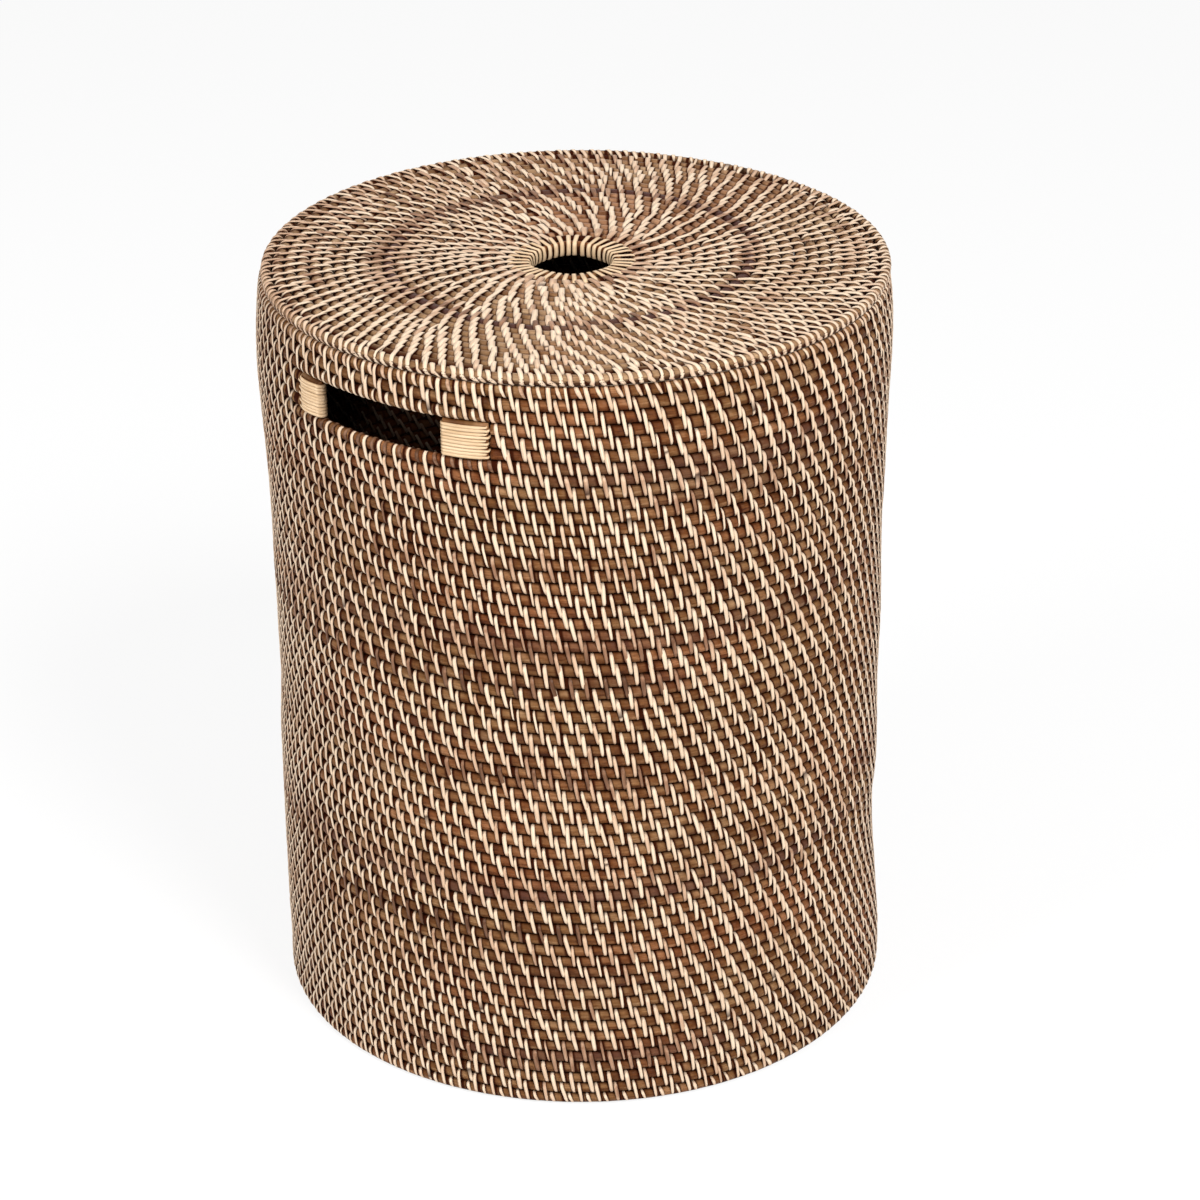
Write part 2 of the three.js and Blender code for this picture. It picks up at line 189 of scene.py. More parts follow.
stainedCane = {
    "name": "Stained cane",
    "patchNoise": {"scale": (0.045, 0.03, 1.7), "detail": 3.0, "roughness": 0.6},
    "patches": [  # colour of the cane from its darkest lengths to its palest
        (0.28, linear(66, 30, 7)),
        (0.43, linear(104, 64, 30)),
        (0.57, linear(134, 97, 62)),
        (0.76, linear(172, 136, 100)),
    ],
    # clouds that tint the cane: scale per metre, the noise where they start and are full, and how full
    "rosy": (1.12, 0.88, 0.86, 1.0),
    "rosyCloud": {"scale": (6, 6, 17), "from": 0.48, "to": 0.66, "share": 1.0},
    "smoked": (0.66, 0.56, 0.48, 1.0),
    "smokedCloud": {"scale": (9, 9, 38), "from": 0.52, "to": 0.68, "share": 0.9},
    "streakNoise": {"scale": (0.05, 1.9, 1.3), "detail": 4.0, "roughness": 0.65},
    "streaks": [(0.3, (0.52, 0.46, 0.4, 1)), (0.62, (1.25, 1.22, 1.18, 1))],
    "streakDepth": 0.85,
    "stain": linear(80, 46, 38),
    # painted shade: the dark colour that the cane is drawn in, in its grooves and beside the stitches
    "groove": linear(50, 13, 0),
    "roughness": 0.42,
    "specular": 0.16,
    "glossTint": (1.0, 0.84, 0.68, 1.0),
    "shadowFrom": 0.10,  # of a pitch from a stitch's middle: its edge
    "shadowTo": 0.21,
    "bulgeTo": 0.4,
    "streakRelief": 0.3,
    "bump": (0.8, 0.0011),  # strength and metres
}
# the lid's cane, in paler patches than the wall's: painted light, as the lid's top faces the lamps
litLidCane = stainedCane | {
    "name": "Stained cane of the lid, painted lighter",
    "patches": [
        (0.28, linear(98, 64, 38)),
        (0.43, linear(136, 102, 70)),
        (0.57, linear(166, 134, 102)),
        (0.76, linear(196, 166, 132)),
    ],
    "rosy": (1.06, 0.9, 0.9, 1.0),
    "stain": linear(76, 48, 42),
    "shadowFrom": 0.15,
    "shadowTo": 0.27,
}


def makeCaneMaterial(look):
    material, nodes, links, shader = newMaterial(look["name"])
    base = rampOn(nodes, links, grainNoise(nodes, links, look["patchNoise"]), look["patches"])
    for tint in ("rosy", "smoked"):
        cloud = look[tint + "Cloud"]
        noise = cloudNoise(nodes, links, cloud["scale"])
        share = remap(nodes, links, noise, cloud["from"], cloud["to"], 0.0, cloud["share"])
        base = mixColours(nodes, links, "MULTIPLY", share, base, look[tint])
    streaks, streaked = streaksOn(nodes, links, look, base)
    coloured = mixColours(nodes, links, "MIX", attributeOn(nodes, "tone"), streaked, look["stain"])
    # painted shade: the cane darkens in its grooves and beside the stitches, where shadow falls. Weave holds
    # the place among the stitches of this row and of the row above, in pitches, so pingpong gives how far
    # the middle of the nearest stitch is
    weave = nodes.new("ShaderNodeSeparateXYZ")
    links.new(attributeOn(nodes, "weave", "Vector"), weave.inputs["Vector"])
    clear = attributeOn(nodes, "shade")
    bulge = clear
    for side in ("X", "Y"):
        away = calculate(nodes, links, "PINGPONG", weave.outputs[side], 0.5)
        beside = remap(nodes, links, away, look["shadowFrom"], look["shadowTo"], 0.0, 1.0)
        clear = calculate(nodes, links, "MULTIPLY", clear, beside)
        swell = remap(nodes, links, away, look["shadowFrom"], look["bulgeTo"], 0.0, 1.0)
        bulge = calculate(nodes, links, "MULTIPLY", bulge, swell)
    final = mixColours(nodes, links, "MIX", clear, look["groove"], coloured)
    links.new(final, shader.inputs["Base Color"])
    links.new(remap(nodes, links, clear, 0.0, 1.0, 1.0, look["roughness"]), shader.inputs["Roughness"])
    shader.inputs["Specular IOR Level"].default_value = look["specular"]
    shader.inputs["Specular Tint"].default_value = look["glossTint"]
    fine = calculate(nodes, links, "MULTIPLY", streaks, look["streakRelief"])
    bumpFrom(nodes, links, calculate(nodes, links, "ADD", fine, bulge), shader, *look["bump"])
    return material


palePeel = {
    "name": "Pale peel",
    "tones": [  # colour of a strip by its tone, from the brown outer peel to the palest
        (0.0, linear(96, 62, 40)),
        (0.3, linear(164, 122, 94)),
        (0.6, linear(224, 187, 156)),
        (1.0, linear(252, 227, 199)),
    ],
    # painted shade: the dark colour that a strip is drawn in at its sides, where it tucks in between the
    # turns and behind them
    "edge": linear(46, 20, 7),
    "patchNoise": {"scale": (0.11, 0.25, 3.1), "detail": 2.0, "roughness": 0.55},
    "patchRange": (0.3, 0.7, -0.16, 0.16),  # from the noise to what it adds to the tone
    "streakNoise": {"scale": (0.09, 3.2, 1.9), "detail": 3.0, "roughness": 0.6},
    "streaks": [(0.3, (0.74, 0.68, 0.6, 1)), (0.6, (1.06, 1.06, 1.06, 1))],
    "streakDepth": 0.8,
    "roughness": 0.45,
    "specular": 0.22,
    "bump": (0.4, 0.0003),
}
freshPeel = palePeel | {
    "name": "Fresh peel of the bindings",
    "tones": [
        (0.0, linear(146, 102, 60)),
        (0.5, linear(216, 180, 137)),
        (1.0, linear(246, 217, 180)),
    ],
    # painted shade, as on the pale peel
    "edge": linear(112, 72, 36),
}


def makePeelMaterial(look):
    material, nodes, links, shader = newMaterial(look["name"])
    spread = remap(nodes, links, grainNoise(nodes, links, look["patchNoise"]), *look["patchRange"])
    tone = calculate(nodes, links, "ADD", attributeOn(nodes, "tone"), spread)
    streaks, coloured = streaksOn(nodes, links, look, rampOn(nodes, links, tone, look["tones"]))
    # painted shade: the strip turns to its edge colour where its shade is low
    final = mixColours(nodes, links, "MIX", attributeOn(nodes, "shade"), look["edge"], coloured)
    links.new(final, shader.inputs["Base Color"])
    shader.inputs["Roughness"].default_value = look["roughness"]
    shader.inputs["Specular IOR Level"].default_value = look["specular"]
    bumpFrom(nodes, links, streaks, shader, *look["bump"])
    return material


caneMaterial = makeCaneMaterial(stainedCane)
litLidMaterial = makeCaneMaterial(litLidCane)
peelMaterial = makePeelMaterial(palePeel)
freshMaterial = makePeelMaterial(freshPeel)
print("materials made")


# Meshes

def sweepFaces(count, sides, start, closed):
    # quads between one ring of points and the next, each ring closed on itself
    rings = np.arange(count if closed else count - 1)[:, None]
    side = np.arange(sides)[None, :]
    following = (rings + 1) % count
    nextSide = (side + 1) % sides
    quads = np.stack([rings * sides + side, rings * sides + nextSide,
                      following * sides + nextSide, following * sides + side], axis=-1)
    return quads.reshape(-1, 4) + start


def signedVolume(points, quads):
    # sum over the faces of corner dot (corner cross corner), a sixth for each of the two triangles
    a, b, c, d = (points[quads[:, i]] for i in range(4))
    first = np.einsum("ij,ij->i", a, np.cross(b, c))
    second = np.einsum("ij,ij->i", a, np.cross(c, d))
    return float((first + second).sum() / 6)


def makePiece(name, sweeps, material, body, replaced):
    # each sweep has points and grain (rings, sides, 3), tone and shade (rings, sides), and canes have weave
    def gathered(key, width):
        return np.concatenate([sweep[key].reshape(-1, width) for sweep in sweeps])

    starts = np.cumsum([0] + [sweep["tone"].size for sweep in sweeps])
    points = gathered("points", 3) / 1000.0
    quads, caps = [], []
    for sweep, start in zip(sweeps, starts):
        count, sides = sweep["tone"].shape
        faces = sweepFaces(count, sides, start, sweep["closed"])
        flip = signedVolume(points, faces) < 0
        quads.append(faces[:, ::-1] if flip else faces)
        if not sweep["closed"]:
            first = start + np.arange(sides)
            last = first + (count - 1) * sides
            caps.append(first if flip else first[::-1])
            caps.append(last[::-1] if flip else last)
    quads = np.concatenate(quads)
    corners = np.concatenate([quads.ravel()] + caps)
    sizes = np.concatenate([np.full(len(quads), 4), [len(cap) for cap in caps]]).astype(np.int32)
    mesh = bpy.data.meshes.new(name)
    mesh.vertices.add(len(points))
    mesh.vertices.foreach_set("co", points.astype(np.float32).ravel())
    mesh.loops.add(len(corners))
    mesh.loops.foreach_set("vertex_index", corners.astype(np.int32))
    mesh.polygons.add(len(sizes))
    mesh.polygons.foreach_set("loop_start", (np.cumsum(sizes) - sizes).astype(np.int32))
    mesh.polygons.foreach_set("use_smooth", np.ones(len(sizes), dtype=bool))
    mesh.update(calc_edges=True)
    for key in ("tone", "shade"):
        values = mesh.attributes.new(key, "FLOAT", "POINT").data
        values.foreach_set("value", gathered(key, 1).astype(np.float32).ravel())
    for key in ("grain", "weave") if "weave" in sweeps[0] else ("grain",):
        values = mesh.attributes.new(key, "FLOAT_VECTOR", "POINT").data
        values.foreach_set("vector", gathered(key, 3).astype(np.float32).ravel())
    mesh.materials.append(material)
    piece = bpy.data.objects.new(name, mesh)
    bpy.context.scene.collection.objects.link(piece)
    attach(piece, body)
    if replaced:
        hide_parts(*replaced)
    print(name, len(sizes), "faces")


def makeCanes(name, canes, replaced, body="hamper_body", material=caneMaterial):
    makePiece(name, canes, material, body, replaced)


def makeStrips(name, runs, replaced=(), body="hamper_body", material=peelMaterial):
    makePiece(name, runs, material, body, replaced)


# Shape of the hamper

def outerRadius(z):
    # full at the foot, drawn in half way up by 4 drop u (1 - u), with u the share of the height, and drawn
    # in again towards the rim, by the square of the share of the last stretch
    share = z / wallHeight
    nearRim = np.clip(1 - (wallHeight - z) / hamper["drawInHeight"], 0, 1.1)
    waist = 4 * hamper["waistDrop"] * share * (1 - share)
    return hamper["radius"] - waist - hamper["rimDrawIn"] * nearRim ** 2


# How far the wall strays from its ideal shape, in millimetres at heights up the wall: evenly all round, and
# towards one side and away from it on the other
handmade = {
    "side": math.radians(-54.6),
    "heights": [0, 25, 50, 75, 100, 130, 155, 180, 220, 260, 300, 330, 360, 400, 440, 470, 500],
    "even": [-1.8, -0.9, -0.5, -0.3, -0.6, -0.7, 0.6, 1.0, -0.2, 0.4, 0.1, -0.7, -0.4, 0.3, 0.9, 0.0, 0.0],
    "towards": [1.2, 1.4, 0.1, -0.7, -1.4, -1.3, -0.2, -0.3, 0.8, 0.6, 0.1, 0.2, 0.4, 0.3, 0.3, 0.8, 0.8],
    "ovalSide": math.radians(-150),
    "oval": 1.8,  # how much the foot is drawn in on that side and its opposite
    "ovalHeight": 80,  # where that has died out
    "waves": [(0.35, 5, 9.7, 0.0), (0.22, 7, -31.0, 0.0)],  # their drift is over the whole height
    "waveHold": 4.5,  # the more, the nearer to the foot and the rim they are full
    "rowWaves": [(0.28, 6, 0.11, 0.0), (0.196, 11, -0.23, 2.0)],  # their drift is for each millimetre up
    "rowHold": 20,  # from the foot and from the rim, over which the rows become level
}


def unevenness(theta, z):
    # even + towards cos(angle from that side), less an oval cos(twice the angle) that dies out above the
    # foot, with small waves of five and seven round that die out at both ends
    share = np.clip(z / wallHeight, 0, 1)
    even = np.interp(z, handmade["heights"], handmade["even"])
    towards = np.interp(z, handmade["heights"], handmade["towards"])
    leaning = towards * np.cos(theta - handmade["side"])
    oval = handmade["oval"] * np.cos(2 * (theta - handmade["ovalSide"]))
    oval = oval * np.clip(1 - z / handmade["ovalHeight"], 0, 1)
    hold = np.clip(handmade["waveHold"] * share * (1 - share), 0, 1)
    return even + leaning - oval + waves(handmade["waves"], theta, share) * hold


def wallPlace(theta, height, out):
    # height up the wall, and out from the middle of its thickness
    radius = outerRadius(height) - hamper["wall"] / 2 + unevenness(theta, height) + out
    hold = np.clip(height / handmade["rowHold"], 0, 1)
    hold = hold * np.clip((wallHeight - height) / handmade["rowHold"], 0, 1)
    z = height + waves(handmade["rowWaves"], theta, height) * hold
    return np.stack([radius * np.cos(theta), radius * np.sin(theta), z], axis=-1)


def wallNormal(theta, out, up):
    return np.stack(np.broadcast_arrays(out * np.cos(theta), out * np.sin(theta), up), axis=-1)


def flatNormal(theta, out, up):
    # on the lid and the base, up is away from the middle and out is upwards
    return wallNormal(theta, up, out)


def turnsUp(phi, climbShare):
    # a coil is level for most of a turn and climbs to the next level before the seam, by 3 u^2 - 2 u^3. phi
    # is the angle from the seam
    turn = np.floor(phi / tau)
    climb = np.clip((phi / tau - turn - 1 + climbShare) / climbShare, 0, 1)
    return turn + climb * climb * (3 - 2 * climb)


def coilEdges(bottom, pitch, total, climbShare, lowest=0, least=0.0):
    # a stitch on a coil goes from the top of the turn above to the bottom of its own: both by their angle
    def topAt(angle):
        return bottom + np.clip(turnsUp(angle, climbShare) + 1, 0, total) * pitch

    def bottomAt(angle):
        return np.maximum(bottom + np.clip(turnsUp(angle, climbShare) - 1, lowest, total) * pitch, least)

    return topAt, bottomAt


cane = {
    "sides": 12,
    "halfThick": 3.5,
    "halfHigh": 3.93,
    "gap": 0.2,  # between two turns, where the strips lie
    "room": 0.01,
    "tipSwell": 1.4,  # how much sooner than its height a pointed end has its full thickness
    "pointCut": 0.14,  # share of the climb that the point at either end of a coil leaves free
    "joint": 0.001,  # angle from where one length ends to the middle of the joint
    "lumps": [(0.1, 47, 1.0, 0.0), (0.07, 83, -2.0, 0.0)],
    "inside": -0.2,  # of its half thickness: what lies further in is the inside
    # painted shade: how dark the cane is drawn over its inside, and in the grooves where the turns meet
    "insideShade": 0.16,
    "grooveShade": 0.03,
    "grooveReach": 0.34,  # of its half height, over which the groove's shade fades
    "slack": 0.05,  # left free where two canes would touch
}
# Points along a whole turn, and along a slot's row
rings = {"coil": 180, "hoop": 200, "slotRow": 110, "hole": 96, "ring": 160, "base": 100}


def caneSection(halfThick, halfHigh):
    # an ellipse: out and up of its points
    angle = (np.arange(cane["sides"]) + 0.5) * tau / cane["sides"]
    return halfThick * np.cos(angle), halfHigh * np.sin(angle)


def sweepCane(theta, height, halfHigh, place, halfThick, closed, seed, stain=None, weaveAt=None, openSide=0,
              slant=None, gap=cane["gap"]):
    # a cane whose middle runs through (theta, height), with half its height at each ring. Its top is free
    # where openSide is 1 and its underside where openSide is -1, and otherwise neighbours lie there
    out, up = caneSection(1.0, 1.0)
    thin = np.clip(halfHigh / cane["halfHigh"] * cane["tipSwell"], 0, 1) * halfThick
    halfHigh = np.maximum(halfHigh - gap / 2, 0.02)
    everyTheta = np.repeat(theta[:, None], len(out), axis=1)
    outwards = out * (thin + waves(cane["lumps"], theta, height))[:, None]
    points = place(everyTheta, height[:, None] + up * halfHigh[:, None], outwards)
    steps = np.linalg.norm(np.diff(points.mean(axis=1), axis=0), axis=1)
    stepsRound = np.hypot(np.diff(out) * halfThick, np.diff(up) * cane["halfHigh"])
    grain = np.empty(points.shape)
    grain[..., 0] = np.concatenate([[0], np.cumsum(steps)])[:, None]
    grain[..., 1] = np.concatenate([[0], np.cumsum(stepsRound)])
    grain[..., 2] = seed
    tone = np.zeros(points.shape[:2]) if stain is None else np.repeat(stain[:, None], len(out), axis=1)
    # painted shade: the cane darkens towards its top and bottom, where the next turns lie, unless that side
    # is free, and all over its inside
    freeSide = np.broadcast_to(openSide, theta.shape)[:, None] * up > 0
    crowded = np.where(freeSide, 0, np.abs(up))
    outside = out > cane["inside"]
    shade = np.clip((1.0 - crowded) / cane["grooveReach"], cane["grooveShade"], 1)
    shade = shade * np.where(outside, 1, cane["insideShade"])
    weave = np.full(points.shape, 0.5)
    if weaveAt:
        # a stitch leans over its two rows, so its place among the stitches changes down the row
        slant = slant or stitch["slant"]
        lean = slant * 0.25 * (1 - up)
        for k, (index, start) in enumerate(zip(weaveAt(theta), (0.0, slant * 0.5))):
            index = index[:, None] - lean - start - stitch["shadowSide"]
            weave[..., k] = np.where(outside, index, np.floor(index) + 0.5)
    return {"points": points, "tone": tone, "shade": shade, "grain": grain, "weave": weave, "closed": closed}


def coilCane(first, last, total, bottom, pitch, climbShare, place, halfThick, steps, seed, stainAt=None,
             weaveAt=None, openAt=None, slant=None, gap=cane["gap"]):
    # turns first to last of a coil of total turns, which starts and ends in a point. The seed moves the
    # cane's pattern, so any number does
    start = first * tau + cane["joint"] if first > 0 else (cane["pointCut"] - 1) * climbShare * tau
    end = last * tau - cane["joint"] if last < total else (last - cane["pointCut"] * climbShare) * tau
    phi = np.linspace(start, end, int((end - start) / tau * steps))
    low = turnsUp(phi, climbShare)
    bottoms, tops = np.clip(low, 0, total), np.clip(low + 1, 0, total)
    height = bottom + (bottoms + tops) / 2 * pitch
    halfHigh = (tops - bottoms) * pitch / 2 - cane["room"]
    theta = phi + hamper["seam"]
    stain = stainAt(theta, height) if stainAt else None
    openSide = openAt(theta) if openAt else 0
    return sweepCane(theta, height, halfHigh, place, halfThick, False, seed, stain, weaveAt, openSide,
                     slant, gap)


def hoopCane(height, halfHigh, place, halfThick, steps, seed, fromAngle=0.0, toAngle=None, weaveAt=None,
             openSide=0, slant=None):
    # one level hoop, or a level length between two angles
    closed = toAngle is None
    theta = np.linspace(fromAngle, fromAngle + tau if closed else toAngle, steps, endpoint=not closed)
    heights, halves = level(height)(theta), level(halfHigh)(theta)
    return sweepCane(theta, heights, halves, place, halfThick, closed, seed, None, weaveAt, openSide, slant)


# Slots: how far they and their bound ends reach, on which the stitches depend

slot = {
    "length": 92.0,
    "longEnd": 28.7,
    "shortEnd": 19.7,
    "endThick": 5.4,
    "proud": 0.4,
    "slit": 2.2,
    "strip": 0.9,
    "gap": 0.3,
    "tuck": 0.004,  # angle that the slots' canes reach past the slit
    "firstStitch": 0.008,  # angle from a slit to the first stitch, and from the last stitch to a slit
    "lastStitch": 0.016,
}
wallCentre = hamper["radius"] - hamper["wall"] / 2
slotReach = (slot["length"] + slot["longEnd"] + slot["shortEnd"]) / 2 + slot["gap"] * 2 + slot["strip"]


def slotEndMiddle(endLength):
    # angle from the slot's middle to the middle of the stack at its end
    return (slotReach - endLength / 2) / hamper["radius"]


slitEnd = slotEndMiddle(slot["longEnd"]) + (slot["longEnd"] / 2 + slot["slit"]) / wallCentre


def atSlot(theta):
    # true where the angle lies at one of the two slots or at its bound ends
    return np.abs((theta + math.pi / 2) % math.pi - math.pi / 2) < slitEnd


# Stitches

stitch = {
    "pitch": 11.3,
    "width": 2.56,
    "thick": 0.46,
    "slant": 0.235,  # of a pitch that a stitch leans over its two rows
    "shiftHeights": [33, 92, 152, 211, 271, 330, 390, 449],
    "shift": [0.45, 0.38, 0.38, 0.40, 0.37, 0.36, 0.45, 0.37],  # of a pitch, from one row to the row below
    # slow sideways waves that neighbouring rows share, in pitches. Their drift is for each row
    "stray": [(0.16, 3, 0.09, 0.0), (0.12, 5, -0.12, 1.0), (0.07, 9, 0.2, 2.0)],
    "jitter": 0.045,  # of a pitch
    "usualRadius": 0.985,  # of the wall, as a share of its radius at the foot
    "lead": 0.09,  # of a turn that the coil's stitches start before the seam
    "lastStitch": 0.35,  # of a turn that they stop before its end
    "shadowSide": 0.02,  # of a pitch that its shadow lies to its right
    "front": 0.25,  # share of the way to the next stitch at which it has gone down the front
    "reach": 0.95,  # of half its canes' height, for the stations that lie deepest
    "leanSpread": 0.22,
    "leanLimits": (0.4, 1.7),
    "roundness": 1.15,  # way round a free side, for each millimetre back from the middle
    "openInset": 2.8,  # from a free side, over which the strip is neither shaded nor squeezed
    "openWidth": 0.98,
    "stationStep": 3.2,  # of grain
    "cracked": 0.015,  # share of the stitches that have split across
    # the split is the stitch's own; its dark mark is painted shade in the gap
    "crackShade": 0.1,
}
# On the lid and the base, from the outer end of a stitch to the inner
flatStitch = {
    "pitch": 10.6,
    "width": 3.6,
    "slant": -0.3,
    "shift": 3.8,  # from one row to the next one out
    "shiftSpread": 0.45,
    "startSpread": 0.01,  # angle
    "choiceSpread": (0.85, 1.15),
    "evening": 0.35,  # of the way to the middle between both neighbours, in each of these rounds
    "eveningRounds": 4,
    "longestStep": 16.0,
    "paler": 0.08,
    "climbShare": 0.5,
}

# Round a bundle of canes: share of the way to the next stitch, distance in from the bundle's top or bottom,
# which of them (1 top, -1 bottom, 0 half way), distance out, normal out and up, width, thickness and shade
# the shade is painted shade: the strip darkens where it tucks in between the turns and where it runs behind
# them
usualStations = np.array([
    [0.00, 0.08, 1, 0.00, 0.00, 1.00, 0.62, 0.50, 0.30],
    [0.01, 0.55, 1, 1.90, 0.50, 0.87, 0.82, 0.80, 0.60],
    [0.03, 1.70, 1, 3.12, 0.84, 0.54, 0.98, 1.00, 0.95],
    [0.05, 3.00, 1, 3.70, 0.97, 0.22, 1.04, 1.00, 1.00],
    [0.08, 4.60, 1, 3.92, 1.00, 0.00, 1.04, 1.00, 1.00],
    [0.17, 4.60, -1, 3.84, 1.00, 0.00, 0.96, 0.95, 1.00],
    [0.20, 3.00, -1, 3.62, 0.97, -0.22, 0.86, 0.85, 1.00],
    [0.22, 1.70, -1, 3.02, 0.84, -0.54, 0.72, 0.75, 0.88],
    [0.24, 0.55, -1, 1.85, 0.50, -0.87, 0.58, 0.65, 0.45],
    [0.25, 0.08, -1, 0.00, 0.00, -1.00, 0.50, 0.50, 0.22],
    [0.38, 2.60, -1, -3.60, -0.95, -0.30, 0.95, 0.85, 0.18],
    [0.87, 2.60, 1, -3.60, -0.95, 0.30, 0.95, 0.85, 0.18],
])
deepestInset = usualStations[:, 1].max()
# at an edge, where the far side of the bundle shows too, more of them hold the strip to the cane
edgeStations = np.insert(usualStations, [10, 10, 11, 12, 12], [
    [0.265, 0.55, -1, -1.90, -0.50, -0.87, 0.60, 0.65, 0.30],
    [0.28, 1.70, -1, -3.12, -0.84, -0.54, 0.80, 0.80, 0.25],
    [0.60, 4.00, 0, -3.70, -1.00, 0.00, 0.95, 0.85, 0.18],
    [0.95, 1.70, 1, -3.12, -0.84, 0.54, 0.95, 0.85, 0.40],
    [0.98, 0.55, 1, -1.90, -0.50, 0.87, 0.80, 0.80, 0.30],
], axis=0)
# in the hole the strip runs straight down, so there it lies less deep
holeStations = edgeStations.copy()
holeStations[holeStations[:, 2] < 0, 1] *= 0.45
# section of a strip: share of its width across and of its thickness out, flat below and crowned above
stripAcross = np.array([-0.5, -0.41, 0.0, 0.41, 0.5])
stripOut = np.array([-0.5, 0.22, 0.5, 0.22, -0.5])
# painted shade: a strip is drawn darker down its sides
stripShade = np.array([0.05, 0.72, 1.0, 0.72, 0.05])


def windStrip(centre, normal, width, thick, tone, shade, along, seed):
    # across is the path's direction cross its normal. The section is set out from the path on those two
    direction = np.gradient(centre, axis=0)
    across = np.cross(direction, normal)
    across /= np.linalg.norm(across, axis=1, keepdims=True) + 1e-9
    out = np.cross(across, direction)
    out /= np.linalg.norm(out, axis=1, keepdims=True) + 1e-9
    sideways = width[:, None] * stripAcross
    outwards = thick[:, None] * stripOut
    points = centre[:, None] + across[:, None] * sideways[..., None] + out[:, None] * outwards[..., None]
    grain = np.stack(np.broadcast_arrays(along[:, None], sideways, seed[:, None]), axis=-1)
    return {"points": points, "tone": np.repeat(tone[:, None], len(stripAcross), axis=1),
            "shade": shade[:, None] * stripShade, "grain": grain, "closed": False}


def stitchRun(phi, nextPhi, edges, seam, place, normalAt, peel, halfThick=cane["halfThick"], slant=None,
              openSide=0, stations=usualStations):
    # one unbroken strip that goes round its canes once for each stitch. In front it leans evenly as it goes
    # down, a little more or less for each stitch, and goes on so round a free side. It has painted shade
    # where it tucks in between the turns, and none on a free side
    topAt, bottomAt = edges
    tone, width, seed = peel
    ahead, inset, side, out, normalOut, normalUp, wide, thick, shade = stations.T
    spread = np.clip(rng.normal(1, stitch["leanSpread"], len(phi)), *stitch["leanLimits"])
    lean = ((slant or stitch["slant"]) * spread)[:, None]

    def insetIn(high):
        return inset * np.clip(high / 2 * stitch["reach"] / deepestInset, 0, 1)

    high = (topAt(phi) - bottomAt(phi))[:, None]
    down = np.where(side > 0, insetIn(high), high - insetIn(high)) / high
    behind = lean + (1 - lean) * (ahead - stitch["front"]) / (1 - stitch["front"])
    atOpenSide = side * np.broadcast_to(openSide, phi.shape)[:, None] > 0
    onwards = lean * np.maximum(-out, 0) * stitch["roundness"] / high
    behind = np.where(atOpenSide, np.where(side > 0, 1 - onwards, lean + onwards), behind)
    share = np.where(ahead <= stitch["front"], down * lean, behind)
    angle = phi[:, None] + (nextPhi - phi)[:, None] * share
    top, bottom = topAt(angle), bottomAt(angle)
    deep = insetIn(top - bottom)
    height = np.where(side > 0, top - deep, np.where(side < 0, bottom + deep, (top + bottom) / 2))
    centre = place(angle + seam, height, out * halfThick / cane["halfThick"]).reshape(-1, 3)
    normal = normalAt(angle + seam, normalOut, normalUp).reshape(-1, 3)
    inTheOpen = atOpenSide & (inset < stitch["openInset"])
    widths = width[:, None] * np.where(inTheOpen, stitch["openWidth"], wide)
    shades = np.where(inTheOpen, 1.0, shade)
    # a split stitch gets painted shade at one station, for the gap
    cracked = rng.random(len(phi)) < stitch["cracked"]
    shades[cracked, rng.integers(3, 6, cracked.sum())] = stitch["crackShade"]
    return windStrip(centre, normal, widths.ravel(), np.tile(stitch["thick"] * thick, len(phi)),
                     np.repeat(tone, len(stations)), shades.ravel(),
                     np.arange(shades.size) * stitch["stationStep"], np.repeat(seed, len(stations)))


strips = {
    "shortest": 12,  # stitches that one strip of peel makes
    "longest": 34,
    "paleShare": 0.84,
    "rosyShare": 0.12,
    "pale": (0.80, 1.0),
    "rosy": (0.45, 0.74),
    "brown": (0.05, 0.38),
    "toneSpread": 0.06,
    "dullShare": 0.05,  # of the stitches, and how much darker they are
    "dullBy": 0.3,
    "widths": (0.88, 1.08),
    "widthSpread": 0.07,
    "thinShare": 0.03,
    "thin": 0.65,
}


def cutPeel(count, paler=0.0, usualWidth=stitch["width"]):
    # tone, width and seed of each stitch, which are nearly alike in one strip of peel
    lengths = rng.integers(strips["shortest"], strips["longest"], size=count // strips["shortest"] + 2)
    stripOf = np.repeat(np.arange(len(lengths)), lengths)[:count]
    kind = rng.random(len(lengths))
    pale, rosy, brown = (rng.uniform(*strips[key], len(lengths)) for key in ("pale", "rosy", "brown"))
    paleShare = strips["paleShare"] + paler
    base = np.where(kind < paleShare, pale, np.where(kind < paleShare + strips["rosyShare"], rosy, brown))
    tone = base[stripOf] + rng.normal(0, strips["toneSpread"], count)
    tone = tone - np.where(rng.random(count) < strips["dullShare"], strips["dullBy"], 0)
    width = rng.uniform(*strips["widths"], len(lengths))[stripOf]
    width = width + rng.normal(0, strips["widthSpread"], count)
    width = usualWidth * width * np.where(rng.random(count) < strips["thinShare"], strips["thin"], 1)
    seed = stripOf * 1.37 + rng.uniform(0, 0.5, count)
    return np.clip(tone, 0, 1), width, seed


# A turn has this many stitches and a part of one
wholeStitches = math.floor(tau * hamper["radius"] * stitch["usualRadius"] / stitch["pitch"])
rowCount = rimRow + 2
rowShift = np.interp(np.arange(rowCount) * rowPitch, stitch["shiftHeights"], stitch["shift"])
rowDrift = np.concatenate([[-rowShift[0]], np.cumsum(rowShift[1:]) - rowShift[1]])


def stray(theta, row):
    return waves(stitch["stray"], theta, row)


def placeAmong(theta, row):
    # which stitch of a row is at an angle, as a number with its fraction. theta is counted from the seam on
    row = np.clip(row, 0, rowCount - 1)
    share = (theta - hamper["seam"]) / tau
    return share * (wholeStitches + rowShift[row]) + rowDrift[row] - stray(theta, row)


def bare(index, where):
    # half way between two stitches, so that none seems near
    return np.where(where, np.floor(index) + 0.5, index)


